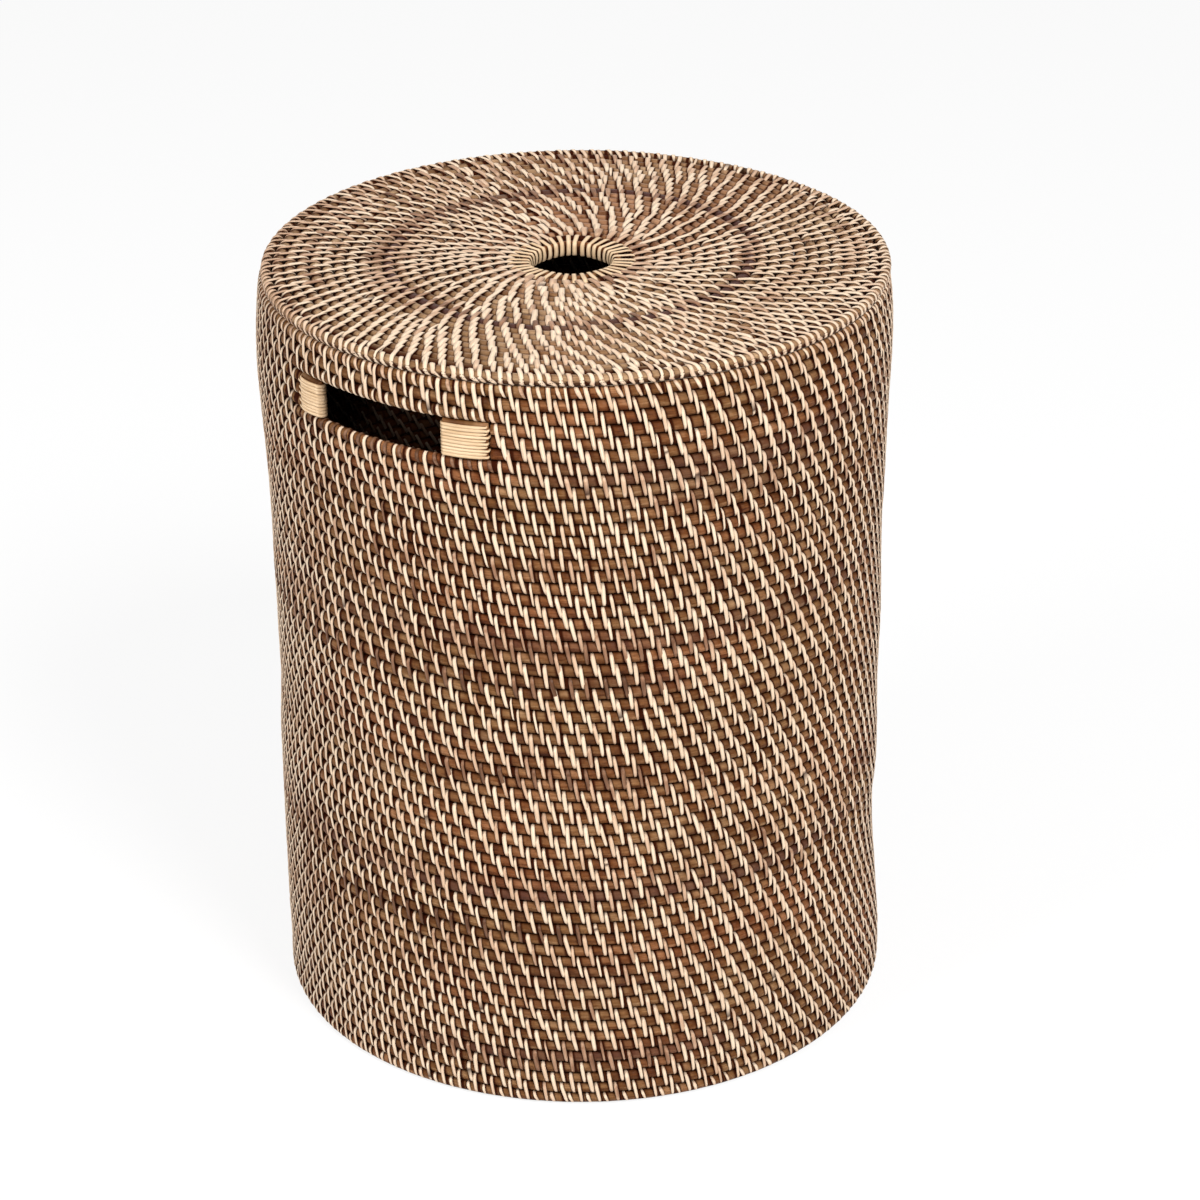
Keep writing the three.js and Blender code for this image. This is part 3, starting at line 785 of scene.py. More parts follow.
def levelWeave(row):
    # places among the stitches of a level row and of the row above. At a slot and its ends, the slots' rows
    # and the bar's lower turn have none, and nothing lies above the rim
    bareRows = range(firstSlotRow, barRow + 1)

    def weaveAt(theta):
        own, above = placeAmong(theta, row), placeAmong(theta, row + 1)
        own = bare(own, atSlot(theta) & (row in bareRows))
        return own, bare(above, atSlot(theta) & (row + 1 in bareRows) | (row >= rimRow))
    return weaveAt


def barWeave(theta):
    # the bar is a coil of two level rows, and the angle goes on counting through its turns
    lastTurn = hamper["barRows"] - 1
    turn = np.floor((theta - hamper["seam"]) / tau).astype(int)
    pairs = [levelWeave(barRow + k)(theta - turn * tau) for k in range(lastTurn + 1)]
    return tuple(np.choose(np.clip(turn, 0, lastTurn), [pair[i] for pair in pairs]) for i in (0, 1))


# Wall

# Runs of dull peel: the row, where it starts and ends as a share of the turn from the seam, and its tone
dullRuns = [
    (42, 0.36, 0.46, 0.42),
    (41, 0.22, 0.38, 0.62),
    (41, 0.38, 0.50, 0.26),
    (41, 0.50, 0.62, 0.66),
    (40, 0.36, 0.43, 0.60),
    (29, 0.42, 0.50, 0.45),
    (20, 0.24, 0.44, 0.55),
    (19, 0.40, 0.64, 0.50),
    (12, 0.30, 0.36, 0.60),
    (5, 0.41, 0.50, 0.40),
    (4, 0.34, 0.48, 0.30),
    (55, 0.42, 0.52, 0.60),
    (53, 0.46, 0.54, 0.42),
    (34, 0.80, 0.95, 0.40),
    (17, 0.03, 0.16, 0.35),
]
# Dark stretches of cane: height and reach in millimetres, start and end as a share of the turn, and depth
darkStretches = [
    (440, 7, 0.40, 0.66, 0.55),
    (424, 5, 0.44, 0.60, 0.40),
    (330, 6, 0.18, 0.66, 0.50),
    (300, 5, 0.40, 0.52, 0.30),
    (262, 5, 0.30, 0.44, 0.35),
    (155, 5, 0.20, 0.64, 0.70),
    (90, 7, 0.34, 0.52, 0.30),
    (36, 6, 0.30, 0.55, 0.60),
    (390, 6, 0.70, 0.98, 0.50),
    (210, 6, 0.75, 1.00, 0.55),
    (120, 5, 0.00, 0.15, 0.45),
]
stretchFade = 0.05  # of a turn, at both ends of a dark stretch


def wallStain(theta, height):
    # how near each dark stretch is in height, while the angle is between its ends
    share = ((theta - hamper["seam"]) / tau) % 1
    stain = np.zeros(theta.shape)
    for middle, reach, start, end, depth in darkStretches:
        inside = np.clip((share - start) / stretchFade, 0, 1) * np.clip((end - share) / stretchFade, 0, 1)
        stain = np.maximum(stain, depth * inside * near(height - middle, reach))
    return stain


def wallStitches(total):
    # angles from the seam of all the coil's stitches in one run, each turn with its own number of them
    turnStarts = np.arange(total + 1) * wholeStitches + rowDrift[1:total + 2]
    index = np.arange(-int(stitch["lead"] * wholeStitches), int(turnStarts[-1]))
    stitchAngle = tau / wholeStitches
    raw = np.interp(index, turnStarts, np.arange(total + 1) * tau)
    raw = np.where(index < 0, index * stitchAngle, raw)
    jitter = rng.normal(0, stitch["jitter"], len(raw))
    phi = raw + stitchAngle * (stray(raw + hamper["seam"], np.floor(raw / tau) + 1) + jitter)
    phi = np.maximum.accumulate(phi + np.arange(len(phi)) * 1e-7)  # none lies before the one that it follows
    return phi, np.append(phi[1:], phi[-1] + stitchAngle)


def makeWall():
    total, climbShare, seam = hamper["coilTurns"], hamper["climbShare"], hamper["seam"]
    phi, nextPhi = wallStitches(total)
    tone, width, seed = cutPeel(len(phi))
    for row, start, end, dulled in dullRuns:
        at = (phi / tau > row - 1 + start) & (phi / tau < row - 1 + end)
        tone = np.where(at, dulled + rng.normal(0, strips["toneSpread"], len(phi)), tone)
    edges = coilEdges(footTop, rowPitch, total, climbShare, -1, hamper["footRoom"])

    def coilWeave(theta):
        # the row above lies one whole turn further along the same run of stitches
        turn = np.floor((theta - seam) / tau).astype(int)
        angle = theta - turn * tau
        above = bare(placeAmong(angle, turn + 2), atSlot(theta) & (turn == total - 1))
        return placeAmong(angle, turn + 1), above

    def openAt(theta):
        # the top of the last turn is free along the slots
        return np.where(atSlot(theta) & (theta - seam >= (total - 1) * tau), 1, 0)

    for caneIndex in range(total // hamper["turnsPerCane"]):
        first, last = caneIndex * hamper["turnsPerCane"], (caneIndex + 1) * hamper["turnsPerCane"]
        coil = coilCane(first, last, total, footTop, rowPitch, climbShare, wallPlace, cane["halfThick"],
                        rings["coil"], 3.1 + caneIndex * 7.3, wallStain, coilWeave, openAt)
        makeCanes(f"wall_cane_{caneIndex + 1}_dressed", [coil], [f"wall_cane_{caneIndex + 1}"])
        low = -1 if first == 0 else first
        chosen = (phi / tau >= low) & (phi / tau < last)
        if last == total:
            chosen &= turnsUp(phi, climbShare) < total - stitch["lastStitch"]
        run = stitchRun(phi[chosen], nextPhi[chosen], edges, seam, wallPlace, wallNormal,
                        (tone[chosen], width[chosen], seed[chosen]), openSide=openAt(phi[chosen] + seam))
        makeStrips(f"wall_stitches_{caneIndex + 1}", [run])


makeWall()
print("wall made")


# Slots, bar and rim

def levelStitches(row, fromAngle, toAngle, top, bottom, share=0.0, slant=None, openSide=0,
                  stations=usualStations):
    # a level row's stitches between two angles, which carry on the drift of the rows below
    low, high = (int(placeAmong(angle, row)) for angle in (fromAngle, toAngle))
    stitchAngle = tau / (wholeStitches + rowShift[row])
    raw = hamper["seam"] + (np.arange(low - 2, high + 3) + share - rowDrift[row]) * stitchAngle
    phi = raw + stitchAngle * (stray(raw, row) + rng.normal(0, stitch["jitter"], len(raw)))
    phi = phi[(phi > fromAngle) & (phi < toAngle)]
    nextPhi = np.append(phi[1:], phi[-1] + stitchAngle)
    peel = cutPeel(len(phi))
    if callable(openSide):
        openSide = openSide(phi)
    return stitchRun(phi, nextPhi, (level(top), level(bottom)), 0.0, wallPlace, wallNormal, peel,
                     slant=slant, openSide=openSide, stations=stations)


def stitchesBeside(row, spans, top, bottom):
    # the stitches of a level row between the slits
    return [levelStitches(row, fromAngle + slot["firstStitch"], toAngle - slot["lastStitch"], top, bottom)
            for fromAngle, toAngle in spans]


# Short stitches go round one turn beside a free edge. They come at a share of a pitch after the long ones
shortStitch = {
    "overSlot": 0.55,
    "underSlot": 0.5,
    "atRim": 0.5,
    "slant": 0.2,
    "rimSlant": 0.3,
}


def makeSlotRows(side, start, spans):
    canes, stitches = [], []
    for row in range(hamper["slotRows"]):
        bottom = slotBottom + row * rowPitch
        canes.append(hoopCane(bottom + rowPitch / 2, cane["halfHigh"], wallPlace, cane["halfThick"],
                              rings["slotRow"], 40 + row * 3.3 + start, start + slitEnd - slot["tuck"],
                              start + math.pi - slitEnd + slot["tuck"], levelWeave(firstSlotRow + row)))
        stitches += stitchesBeside(firstSlotRow + row, spans, bottom + rowPitch, bottom - rowPitch)
    nodes = [f"slot_cane_{side}_{row + 1}" for row in range(hamper["slotRows"])]
    makeCanes(f"slot_canes_{side}_dressed", canes, nodes)
    makeStrips(f"slot_stitches_{side}", stitches)


def makeBar(spans):
    # over a slot only the upper turn has stitches that go round both turns, and short ones bind the lower
    # turn and the wall's last turn. Beyond the slots each turn has its own
    seam = hamper["seam"]

    def openBelow(theta):
        return np.where(atSlot(theta) & (theta - seam < tau), -1, 0)

    rows = hamper["barRows"]
    coil = coilCane(0, rows, rows, slotTop, rowPitch, hamper["climbShare"], wallPlace, cane["halfThick"],
                    rings["coil"], 61.0, weaveAt=barWeave, openAt=openBelow)
    makeCanes("bar_cane_dressed", [coil], ["bar_cane"])
    stitches = stitchesBeside(barRow, spans, slotTop + rowPitch, slotTop - rowPitch)
    stitches.append(levelStitches(barRow + 1, seam, seam + tau, slotTop + 2 * rowPitch, slotTop,
                                  openSide=openBelow))
    for slotAngle in (math.pi, tau):
        ends = (slotAngle - slitEnd, slotAngle + slitEnd)
        above = (barRow + 1, *ends, slotTop + rowPitch, slotTop, shortStitch["overSlot"])
        below = (firstSlotRow - 1, *ends, slotBottom, slotBottom - rowPitch, shortStitch["underSlot"])
        stitches.append(levelStitches(*above, shortStitch["slant"], -1, edgeStations))
        stitches.append(levelStitches(*below, shortStitch["slant"], 1, edgeStations))
    makeStrips("bar_stitches", stitches)


def makeRimAndFoot():
    seam, half = hamper["seam"], cane["halfHigh"]
    rim = hoopCane(rimBottom + rowPitch / 2, half, wallPlace, cane["halfThick"], rings["hoop"], 71.0, seam,
                   None, levelWeave(rimRow), openSide=1)
    makeCanes("rim_hoop_dressed", [rim], ["rim_hoop"])
    long = levelStitches(rimRow, seam, seam + tau, wallHeight, rimBottom - rowPitch, openSide=1,
                         stations=edgeStations)
    short = levelStitches(rimRow, seam, seam + tau, wallHeight, rimBottom, shortStitch["atRim"],
                          shortStitch["rimSlant"], 1, edgeStations)
    makeStrips("rim_stitches", [long, short])

    foot = hoopCane(rowPitch / 2, half + cane["gap"] / 2 - cane["slack"], wallPlace, cane["halfThick"],
                    rings["hoop"], 81.0, seam, None, levelWeave(0))
    makeCanes("foot_hoop_dressed", [foot], ["foot_hoop"])
    footBottom = hamper["footRoom"] + cane["slack"]
    run = levelStitches(0, seam, seam + tau, footTop, footBottom, stations=edgeStations)
    makeStrips("foot_stitches", [run])


# the spans beside the slots, with every angle counted from the seam, at 60 degrees, to one turn further
frontSpans = [(math.pi + slitEnd, tau - slitEnd)]
backSpans = [(hamper["seam"], math.pi - slitEnd), (tau + slitEnd, tau + hamper["seam"])]
makeSlotRows("front", math.pi, frontSpans)
makeSlotRows("back", tau, backSpans)
makeBar(frontSpans + backSpans)
makeRimAndFoot()
print("slots, bar and rim made")


# Bindings at the slots' ends

slotBinding = {
    "loops": 10,
    "width": 2.36,
    "thick": 0.95,
    "bow": 1.3,  # how far the loops swell out between the stack's two ends
    "innerBow": 0.15,
    "ragged": 1.5,  # how much shorter every other loop is at the outer end
    "raggedSpread": (-0.3, 0.5),
    "heightSpread": 0.07,
    "widths": (0.92, 1.03),
    "outerWidth": 0.72,  # share of its width that a loop keeps at the outer end
    "tone": (0.82, 0.05),
    # painted shade: how dark the loops are drawn on their inside and on their end towards the slot
    "insideShade": 0.4,
    "slotShade": 0.7,
    "roundEnd": 1.4,  # angle over which the short canes become round towards the slot
}


def bindingPath(loops, halfLong):
    # round the stack: half a circle towards the slot, then a bowed side, two small corners at the far end
    # and the other side, climbing one pitch a loop
    stackHigh = hamper["slotRows"] * rowPitch - slot["gap"]
    pitch = (stackHigh - slotBinding["width"]) / loops
    halfThick = slot["endThick"] / 2
    corner = slot["gap"] + slot["strip"] / 2
    wide = halfThick + corner

    def arc(turn, x, y, radius):
        outX, outY = np.cos(turn), np.sin(turn)
        return np.stack([x + radius * outX, y + radius * outY, outX, outY], -1)

    def bowedSide(share, side, bow):
        x = halfLong - halfThick - share * (2 * halfLong - halfThick)
        y = side * (wide + 4 * share * (1 - share) * bow)
        return np.stack(np.broadcast_arrays(x, y, 0.0, float(side)), -1)

    shares = np.array([0.2, 0.4, 0.6, 0.8])
    corners = np.linspace(math.pi / 2, 3 * math.pi / 2, 6)
    loop = np.concatenate([
        arc(np.linspace(-math.pi / 2, math.pi / 2, 9), halfLong - halfThick, 0, wide),
        bowedSide(shares, 1, slotBinding["bow"]),
        arc(corners, -halfLong, np.where(np.sin(corners) > 0, halfThick, -halfThick), corner),
        bowedSide(shares[::-1], -1, slotBinding["innerBow"]),
    ])
    order = np.arange(loops * len(loop) + 1)
    height = (order / len(loop) - loops / 2) * pitch
    which = order % len(loop)
    return loop[which, :2], loop[which, 2:], height, order // len(loop)


def shortCanes(halfLong, halfThick, centre, along, radial, up):
    # one cane for each of the slot's rows, round at the end towards the slot
    out, high = caneSection(1.0, cane["halfHigh"] - cane["slack"])
    bend = np.linspace(0, slotBinding["roundEnd"], 5)
    s = np.concatenate([[-halfLong, 0], halfLong - halfThick * (1 - np.sin(bend))])
    thick = halfThick * np.concatenate([[1, 1], np.cos(bend)])
    canes = []
    for row in range(hamper["slotRows"]):
        rise = high + (row - 1) * rowPitch
        points = (centre + s[:, None, None] * along + (thick[:, None] * out)[..., None] * radial
                  + rise[None, :, None] * up)
        grain = np.stack(np.broadcast_arrays(s[:, None], out[None, :], 90.0 + row), axis=-1)
        shape = points.shape[:2]
        canes.append({"points": points, "tone": np.zeros(shape), "shade": np.ones(shape),
                      "weave": np.full(points.shape, 0.5), "grain": grain, "closed": False})
    return canes


def makeSlotEnd(place, slotAngle, towards, endLength):
    # x runs along the wall towards the slot, from the middle of the stack
    slotMiddle = (slotBottom + slotTop) / 2
    drop = wallCentre * (1 - math.cos(endLength / 2 / wallCentre))
    bindingHalf = slot["endThick"] / 2 + slot["gap"] + slot["strip"]
    stackRadius = outerRadius(slotMiddle) + slot["proud"] - bindingHalf - drop / 2
    angle = slotAngle + towards * slotEndMiddle(endLength)
    along = np.array([math.sin(angle), -math.cos(angle), 0.0]) * towards
    radial = np.array([math.cos(angle), math.sin(angle), 0.0])
    up = np.array([0.0, 0.0, 1.0])
    sway = float(unevenness(np.array(angle), np.array(slotMiddle)))
    centre = (stackRadius + sway) * radial + slotMiddle * up
    halfLong = endLength / 2
    canes = shortCanes(halfLong, slot["endThick"] / 2, centre, along, radial, up)
    makeCanes(f"slot_end_canes_{place}", canes, [f"slot_end_stack_{place}"])

    loops = slotBinding["loops"]
    spots, normals, height, loop = bindingPath(loops, halfLong)
    teeth = np.where(np.arange(loops + 1) % 2 == 0, 0.0, slotBinding["ragged"])
    strayX = (teeth + rng.uniform(*slotBinding["raggedSpread"], loops + 1))[loop]
    strayZ = rng.normal(0, slotBinding["heightSpread"], loops + 1)[loop]
    atFarEnd = spots[:, 0] < -halfLong + 0.5
    x = spots[:, 0] + np.where(atFarEnd, strayX, 0)
    path = centre + x[:, None] * along + spots[:, 1:] * radial + (height + strayZ)[:, None] * up
    normal = normals[:, :1] * along + normals[:, 1:] * radial
    width = slotBinding["width"] * rng.uniform(*slotBinding["widths"], loops + 1)[loop]
    width = width * np.where(atFarEnd, slotBinding["outerWidth"], 1)
    tone = np.clip(rng.normal(*slotBinding["tone"], loops + 1)[loop], 0, 1)
    # painted shade on the loops' end towards the slot and on their inside
    shade = np.where(spots[:, 0] > halfLong - 1, slotBinding["slotShade"], 1.0)
    shade = np.where(spots[:, 1] < 0, slotBinding["insideShade"], shade)
    run = windStrip(path, normal, width, np.full(len(path), slotBinding["thick"]), tone, shade,
                    np.arange(len(path)) * 3.0, 200.0 + loop * 1.7)
    makeStrips(f"slot_end_strip_{place}", [run], [f"slot_end_binding_{place}"], material=freshMaterial)


makeSlotEnd("left_front", math.pi, 1, slot["longEnd"])
makeSlotEnd("left_back", math.pi, -1, slot["shortEnd"])
makeSlotEnd("right_front", 0.0, -1, slot["shortEnd"])
makeSlotEnd("right_back", 0.0, 1, slot["longEnd"])
print("slot ends bound")


# Flat coils: the lid and the base

lid = {
    "stepIn": 0.4,
    "thick": 7.4,
    "skin": 0.5,  # that the canes leave to the stitches on either side
    "rimCane": 7.4,
    "dish": 3.5,
    "turns": 20,
    "canes": 4,
    "holeRadius": 24.5,
    "holeCane": 6.2,
    "holeCaneHeight": 8.6,
    "strip": 0.9,
    "wrapGap": 0.55,
    "gap": 0.3,  # between the lid and the rim under it, and between the hole's winding and the first turn
    "turnSides": 24,  # facets of the part's turns
    "stripLift": 0.1,
    "holeSlant": 0.1,
    "shift": np.array([0.5, -1.9]),  # the loose lid lies a little to one side
    "holeShift": np.array([0.25, 1.0]),  # and its hole isn't quite in the middle
    "waves": [(0.5, 2, 0.02, 0.0), (0.3, 5, -0.05, 0.0)],  # up and down, with their drift per millimetre
    "sideWaves": [(0.35, 4, 0.17, 0.0)],
    "waveHold": 25,  # from the rim, over which the waves die out
    "edgeAngles": [-180, -60, -40, -15, 10, 28, 55, 85, 110, 180],  # where the rim isn't quite round
    "edge": [0, 0, -1.2, -2.6, -2.0, 0.6, 1.2, 0.6, 0, 0],
    "edgeFrom": 110,  # radius from which the turns follow the rim, and how much further out they do so fully
    "edgeGrowth": 80,
    "darkAngles": [-235, -175, -125, -95, -55, -15, 25, 65, 125],  # the dark turn's radius at these angles
    "darkRadii": [117, 116, 109, 108, 112, 121, 121, 119, 117],
    "darkReach": 4.6,
    "darkPeel": (0.5, 0.9),  # share of its tone that a stitch loses there
    "firstStitches": 31,
    "innerWider": 0.3,  # share that the stitches next to the hole are wider
    "innerRadius": 75,  # from where they widen inwards, and over how many millimetres
    "innerWidth": 35,
    "holeStitches": 38,
    "holeSpread": 0.012,
    "holeTone": (0.9, 0.05),
    "holeStrip": 3.0,
    "rimPitch": 11.5,
    "rimSpread": 0.035,  # of a pitch
    "rimBetween": (0.42, 0.58),  # share of a pitch from a long stitch to the short one that follows
    "rimStrip": 0.86,  # of a flat stitch's width
    "rimSlant": -0.45,
    "rimShortSlant": -0.3,
    "rimSkin": 0.4,  # that the rim's cane leaves to the stitches
    "rimInset": 0.35,  # from the rim's edge to the middle of its strips
    "rimClear": 0.2,  # between the short stitches and the last turn
    "ringTurns": 2,
    "ringCane": 7.4,
    "ringHalfThick": 3.1,
    "ringClearance": 4.0,
    "ringSpread": 0.003,
    "ringTopRoom": 0.25,  # that the ring's strips leave to the lid, and at the bottom
    "ringFootRoom": 0.1,
}
rimCentre = rimBottom + rowPitch / 2
rimOuter = float(outerRadius(np.array(rimCentre)))
lidRimRadius = rimOuter - lid["stepIn"] - lid["rimCane"] / 2
lidCentre = rimCentre + (rowPitch - lid["gap"]) / 2 + lid["gap"] + lid["rimCane"] / 2
holeOffset = lid["holeCane"] / 2 + lid["wrapGap"] + lid["strip"] / 2
holeHoopRadius = lid["holeRadius"] + lid["strip"] / 2 + holeOffset
lidInner = holeHoopRadius + holeOffset + lid["strip"] / 2 + lid["gap"]
lidInner = lidInner / math.cos(math.pi / lid["turnSides"])
lidOuter = lidRimRadius - lid["rimCane"] / 2
lidPitch = (lidOuter - lidInner) / lid["turns"]


def lidPlace(theta, radius, out):
    # a shallow cone that sinks from the rim to the hole, with slow waves
    inwards = (lidRimRadius - radius) / (lidRimRadius - holeHoopRadius)
    hold = np.clip((lidRimRadius - radius) / lid["waveHold"], 0, 1)
    turned = (np.degrees(theta) + 180) % 360 - 180
    edge = np.interp(turned, lid["edgeAngles"], lid["edge"])
    edge = edge * np.clip((radius - lid["edgeFrom"]) / lid["edgeGrowth"], 0, 1)
    strayed = radius + waves(lid["sideWaves"], theta, radius) * hold + edge
    z = lidCentre - lid["dish"] * inwards + waves(lid["waves"], theta, radius) * hold + out
    shiftX, shiftY = (lid["shift"][k] + (lid["holeShift"] - lid["shift"])[k] * inwards for k in (0, 1))
    return np.stack([strayed * np.cos(theta) + shiftX, strayed * np.sin(theta) + shiftY, z], axis=-1)


def holePlace(theta, radius, out):
    # the hole's hoop hangs lower than the lid's canes, and its top is level with theirs
    return lidPlace(theta, radius, out - (lid["holeCaneHeight"] - lid["holeCane"]) / 2)


def forkedRows(radii, firstCount):
    # each row follows the row inside it, turned on a little. Where a row is long enough for more stitches,
    # they come in the widest gaps, so the lines fork outwards, and the row evens out
    spread = flatStitch["startSpread"]
    theta = np.linspace(0, tau, firstCount, endpoint=False) + rng.normal(0, spread, firstCount)
    rows = [np.sort(theta % tau)]
    for radius in radii[1:]:
        shift = flatStitch["shift"] + rng.normal(0, flatStitch["shiftSpread"], len(rows[-1]))
        theta = np.sort((rows[-1] + shift / radius) % tau)
        ahead = np.append(theta[1:], theta[0] + tau)
        missing = max(round(tau * radius / flatStitch["pitch"]) - len(theta), 0)
        choice = rng.uniform(*flatStitch["choiceSpread"], len(theta))
        widest = np.argsort((theta - ahead) * choice)[:missing]
        theta = np.sort(np.concatenate([theta, (theta + ahead)[widest] / 2]) % tau)
        for evening in range(flatStitch["eveningRounds"]):
            ahead = np.append(theta[1:], theta[0] + tau)
            behind = np.insert(theta[:-1], 0, theta[-1] - tau)
            theta = theta + flatStitch["evening"] * ((ahead + behind) / 2 - theta)
        rows.append(np.sort(theta % tau))
    return rows


def flatAngles(rows, radii):
    # angles from the seam of all the rows' stitches in one unbroken run along the coil
    seam = hamper["seam"]
    phi = np.concatenate([tau * turn + np.sort((row - seam) % tau) for turn, row in enumerate(rows)])
    nextPhi = np.append(phi[1:], phi[-1] + (phi[-1] - phi[-2]))
    radius = np.interp(phi, [0, phi[-1]], [radii[0], radii[-1]])
    return phi, np.minimum(nextPhi, phi + flatStitch["longestStep"] / radius)


def flatRun(phi, nextPhi, inner, pitch, total, place, peel, half):
    # the stitches of a flat coil, apart from its first turn and from the very end
    climbShare = flatStitch["climbShare"]
    keep = (phi / tau >= 1) & (turnsUp(phi, climbShare) < total - stitch["lastStitch"])
    edges = coilEdges(inner, pitch, total, climbShare)
    return stitchRun(phi[keep], nextPhi[keep], edges, hamper["seam"], place, flatNormal,
                     tuple(part[keep] for part in peel), half, flatStitch["slant"])


def lidDark(theta, radius):
    # full within a few millimetres of the dark turn
    turned = (np.degrees(theta) - lid["darkAngles"][0]) % 360 + lid["darkAngles"][0]
    return near(radius - np.interp(turned, lid["darkAngles"], lid["darkRadii"]), lid["darkReach"])


def makeLid():
    turns, seam, half = lid["turns"], hamper["seam"], lid["thick"] / 2 - lid["skin"]
    radii = lidInner + (np.arange(turns) + 0.5) * lidPitch
    phi, nextPhi = flatAngles(forkedRows(radii, lid["firstStitches"]), radii)
    tone, width, seed = cutPeel(len(phi), flatStitch["paler"], flatStitch["width"])

    def weaveAt(theta):
        # place among the stitches of this turn and of the next one out
        order = np.arange(len(phi))
        return np.interp(theta - seam, phi, order), np.interp(theta - seam + tau, phi, order)

    turnsPerCane = turns // lid["canes"]
    for index in range(lid["canes"]):
        first, last = index * turnsPerCane, (index + 1) * turnsPerCane
        coil = coilCane(first, last, turns, lidInner, lidPitch, flatStitch["climbShare"], lidPlace, half,
                        rings["coil"], 21.0 + index * 5.7, lidDark, weaveAt, slant=flatStitch["slant"])
        makeCanes(f"lid_cane_{index + 1}_dressed", [coil], [f"lid_cane_{index + 1}"], "lid", litLidMaterial)
    middle = lidInner + phi / tau * lidPitch
    tone = tone * (1 - lidDark(phi + seam, middle) * rng.uniform(*lid["darkPeel"], len(tone)))
    nearHole = np.clip((lid["innerRadius"] - middle) / lid["innerWidth"], 0, 1)
    width = width * (1 + lid["innerWider"] * nearHole)
    run = flatRun(phi, nextPhi, lidInner, lidPitch, turns, lidPlace, (tone, width, seed), half)
    makeStrips("lid_stitches", [run], body="lid")


def makeHole():
    half, count = lid["holeCaneHeight"] / 2, lid["holeStitches"]
    hoop = hoopCane(holeHoopRadius, lid["holeCane"] / 2, holePlace, half, rings["hole"], 51.0)
    makeCanes("lid_hole_hoop_dressed", [hoop], ["lid_hole_hoop"], "lid")
    angle = np.arange(count) * tau / count + rng.normal(0, lid["holeSpread"], count)
    ahead = np.append(angle[1:], angle[0] + tau)
    tone = np.clip(rng.normal(*lid["holeTone"], count), 0, 1)
    edges = (level(lidInner + lidPitch), level(lid["holeRadius"] + lid["strip"] / 2))
    peel = (tone, np.full(count, lid["holeStrip"]), 300 + np.arange(count) * 0.9)
    run = stitchRun(angle, ahead, edges, 0.0, holePlace, flatNormal, peel, half - lid["stripLift"],
                    lid["holeSlant"], -1, holeStations)
    makeStrips("lid_hole_strip", [run], ["lid_hole_binding"], "lid", freshMaterial)


def makeLidRim():
    # long stitches hold the rim hoop to the last turn, and short ones between them go round the hoop alone
    half = lid["rimCane"] / 2 - lid["rimSkin"]
    spacing = lid["rimPitch"] / lidRimRadius
    count = int(tau / spacing)
    longAngle = np.arange(count) * tau / count + rng.normal(0, lid["rimSpread"], count) * spacing
    shortAngle = longAngle + spacing * rng.uniform(*lid["rimBetween"], count)
    both = np.stack([longAngle, shortAngle], axis=1).ravel()

    def weaveAt(theta):
        return np.interp(theta % tau, both, np.arange(2 * count)), np.full(theta.shape, 0.5)

    rim = hoopCane(lidRimRadius, half + cane["gap"] / 2, lidPlace, half, rings["hoop"], 55.0,
                   weaveAt=weaveAt, openSide=1, slant=flatStitch["slant"])
    makeCanes("lid_rim_hoop_dressed", [rim], ["lid_rim_hoop"], "lid", litLidMaterial)
    outer = level(lidRimRadius + lid["rimCane"] / 2 - lid["rimInset"])
    runs = []
    for angle, inner, slant in ((longAngle, lidOuter - lidPitch, lid["rimSlant"]),
                                (shortAngle, lidOuter + lid["rimClear"], lid["rimShortSlant"])):
        peel = cutPeel(count, flatStitch["paler"], flatStitch["width"] * lid["rimStrip"])
        runs.append(stitchRun(angle, angle + spacing, (outer, level(inner)), 0.0, lidPlace, flatNormal, peel,
                              half + lid["stripLift"], slant, 1, edgeStations))
    makeStrips("lid_rim_stitches", runs, body="lid")


def makeLocatingRing():
    # two turns under the lid, bound to each other, that drop inside the wall
    outer = rimOuter - hamper["wall"] - lid["ringClearance"]
    sink = lid["dish"] * (lidRimRadius - outer + lid["ringCane"]) / (lidRimRadius - holeHoopRadius)
    top = lidCentre - lid["thick"] / 2 - sink
    bottom = top - lid["ringTurns"] * rowPitch
    half = lid["ringHalfThick"]

    def ringPlace(theta, height, out):
        radius = outer - lid["ringCane"] / 2 + out
        return np.stack([radius * np.cos(theta), radius * np.sin(theta), height], axis=-1)

    coil = coilCane(0, lid["ringTurns"], lid["ringTurns"], bottom, rowPitch, hamper["climbShare"], ringPlace,
                    half, rings["ring"], 95.0)
    makeCanes("lid_locating_ring_dressed", [coil], ["lid_locating_ring"], "lid")
    count = int(tau * outer / stitch["pitch"])
    angle = np.arange(count) * tau / count + rng.normal(0, lid["ringSpread"], count)
    edges = (level(top - lid["ringTopRoom"]), level(bottom + lid["ringFootRoom"]))
    run = stitchRun(angle, angle + tau / count, edges, 0.0, ringPlace, wallNormal, cutPeel(count), half)
    makeStrips("lid_ring_stitches", [run], body="lid")


makeLid()
makeHole()
makeLidRim()
print("lid made")
makeLocatingRing()
print("locating ring made")

base = {
    "turns": 25,
    "cuts": [0, 9, 17, 25],
    "thick": 7.4,
    "skin": 0.5,
    "rise": 1.2,
    "overlap": 0.3,  # that its last turn goes into the wall's stitches
    "waves": [(0.3, 3, 0.03, 0.0)],
    "firstStitches": 8,
}


def basePlace(theta, radius, out):
    # it meets the wall all round, so its turns stray as the foot does
    z = base["rise"] + base["thick"] / 2 + waves(base["waves"], theta, radius) + out
    radius = radius * (1 + unevenness(theta, np.zeros(theta.shape)) / hamper["radius"])
    return np.stack([radius * np.cos(theta), radius * np.sin(theta), z], axis=-1)


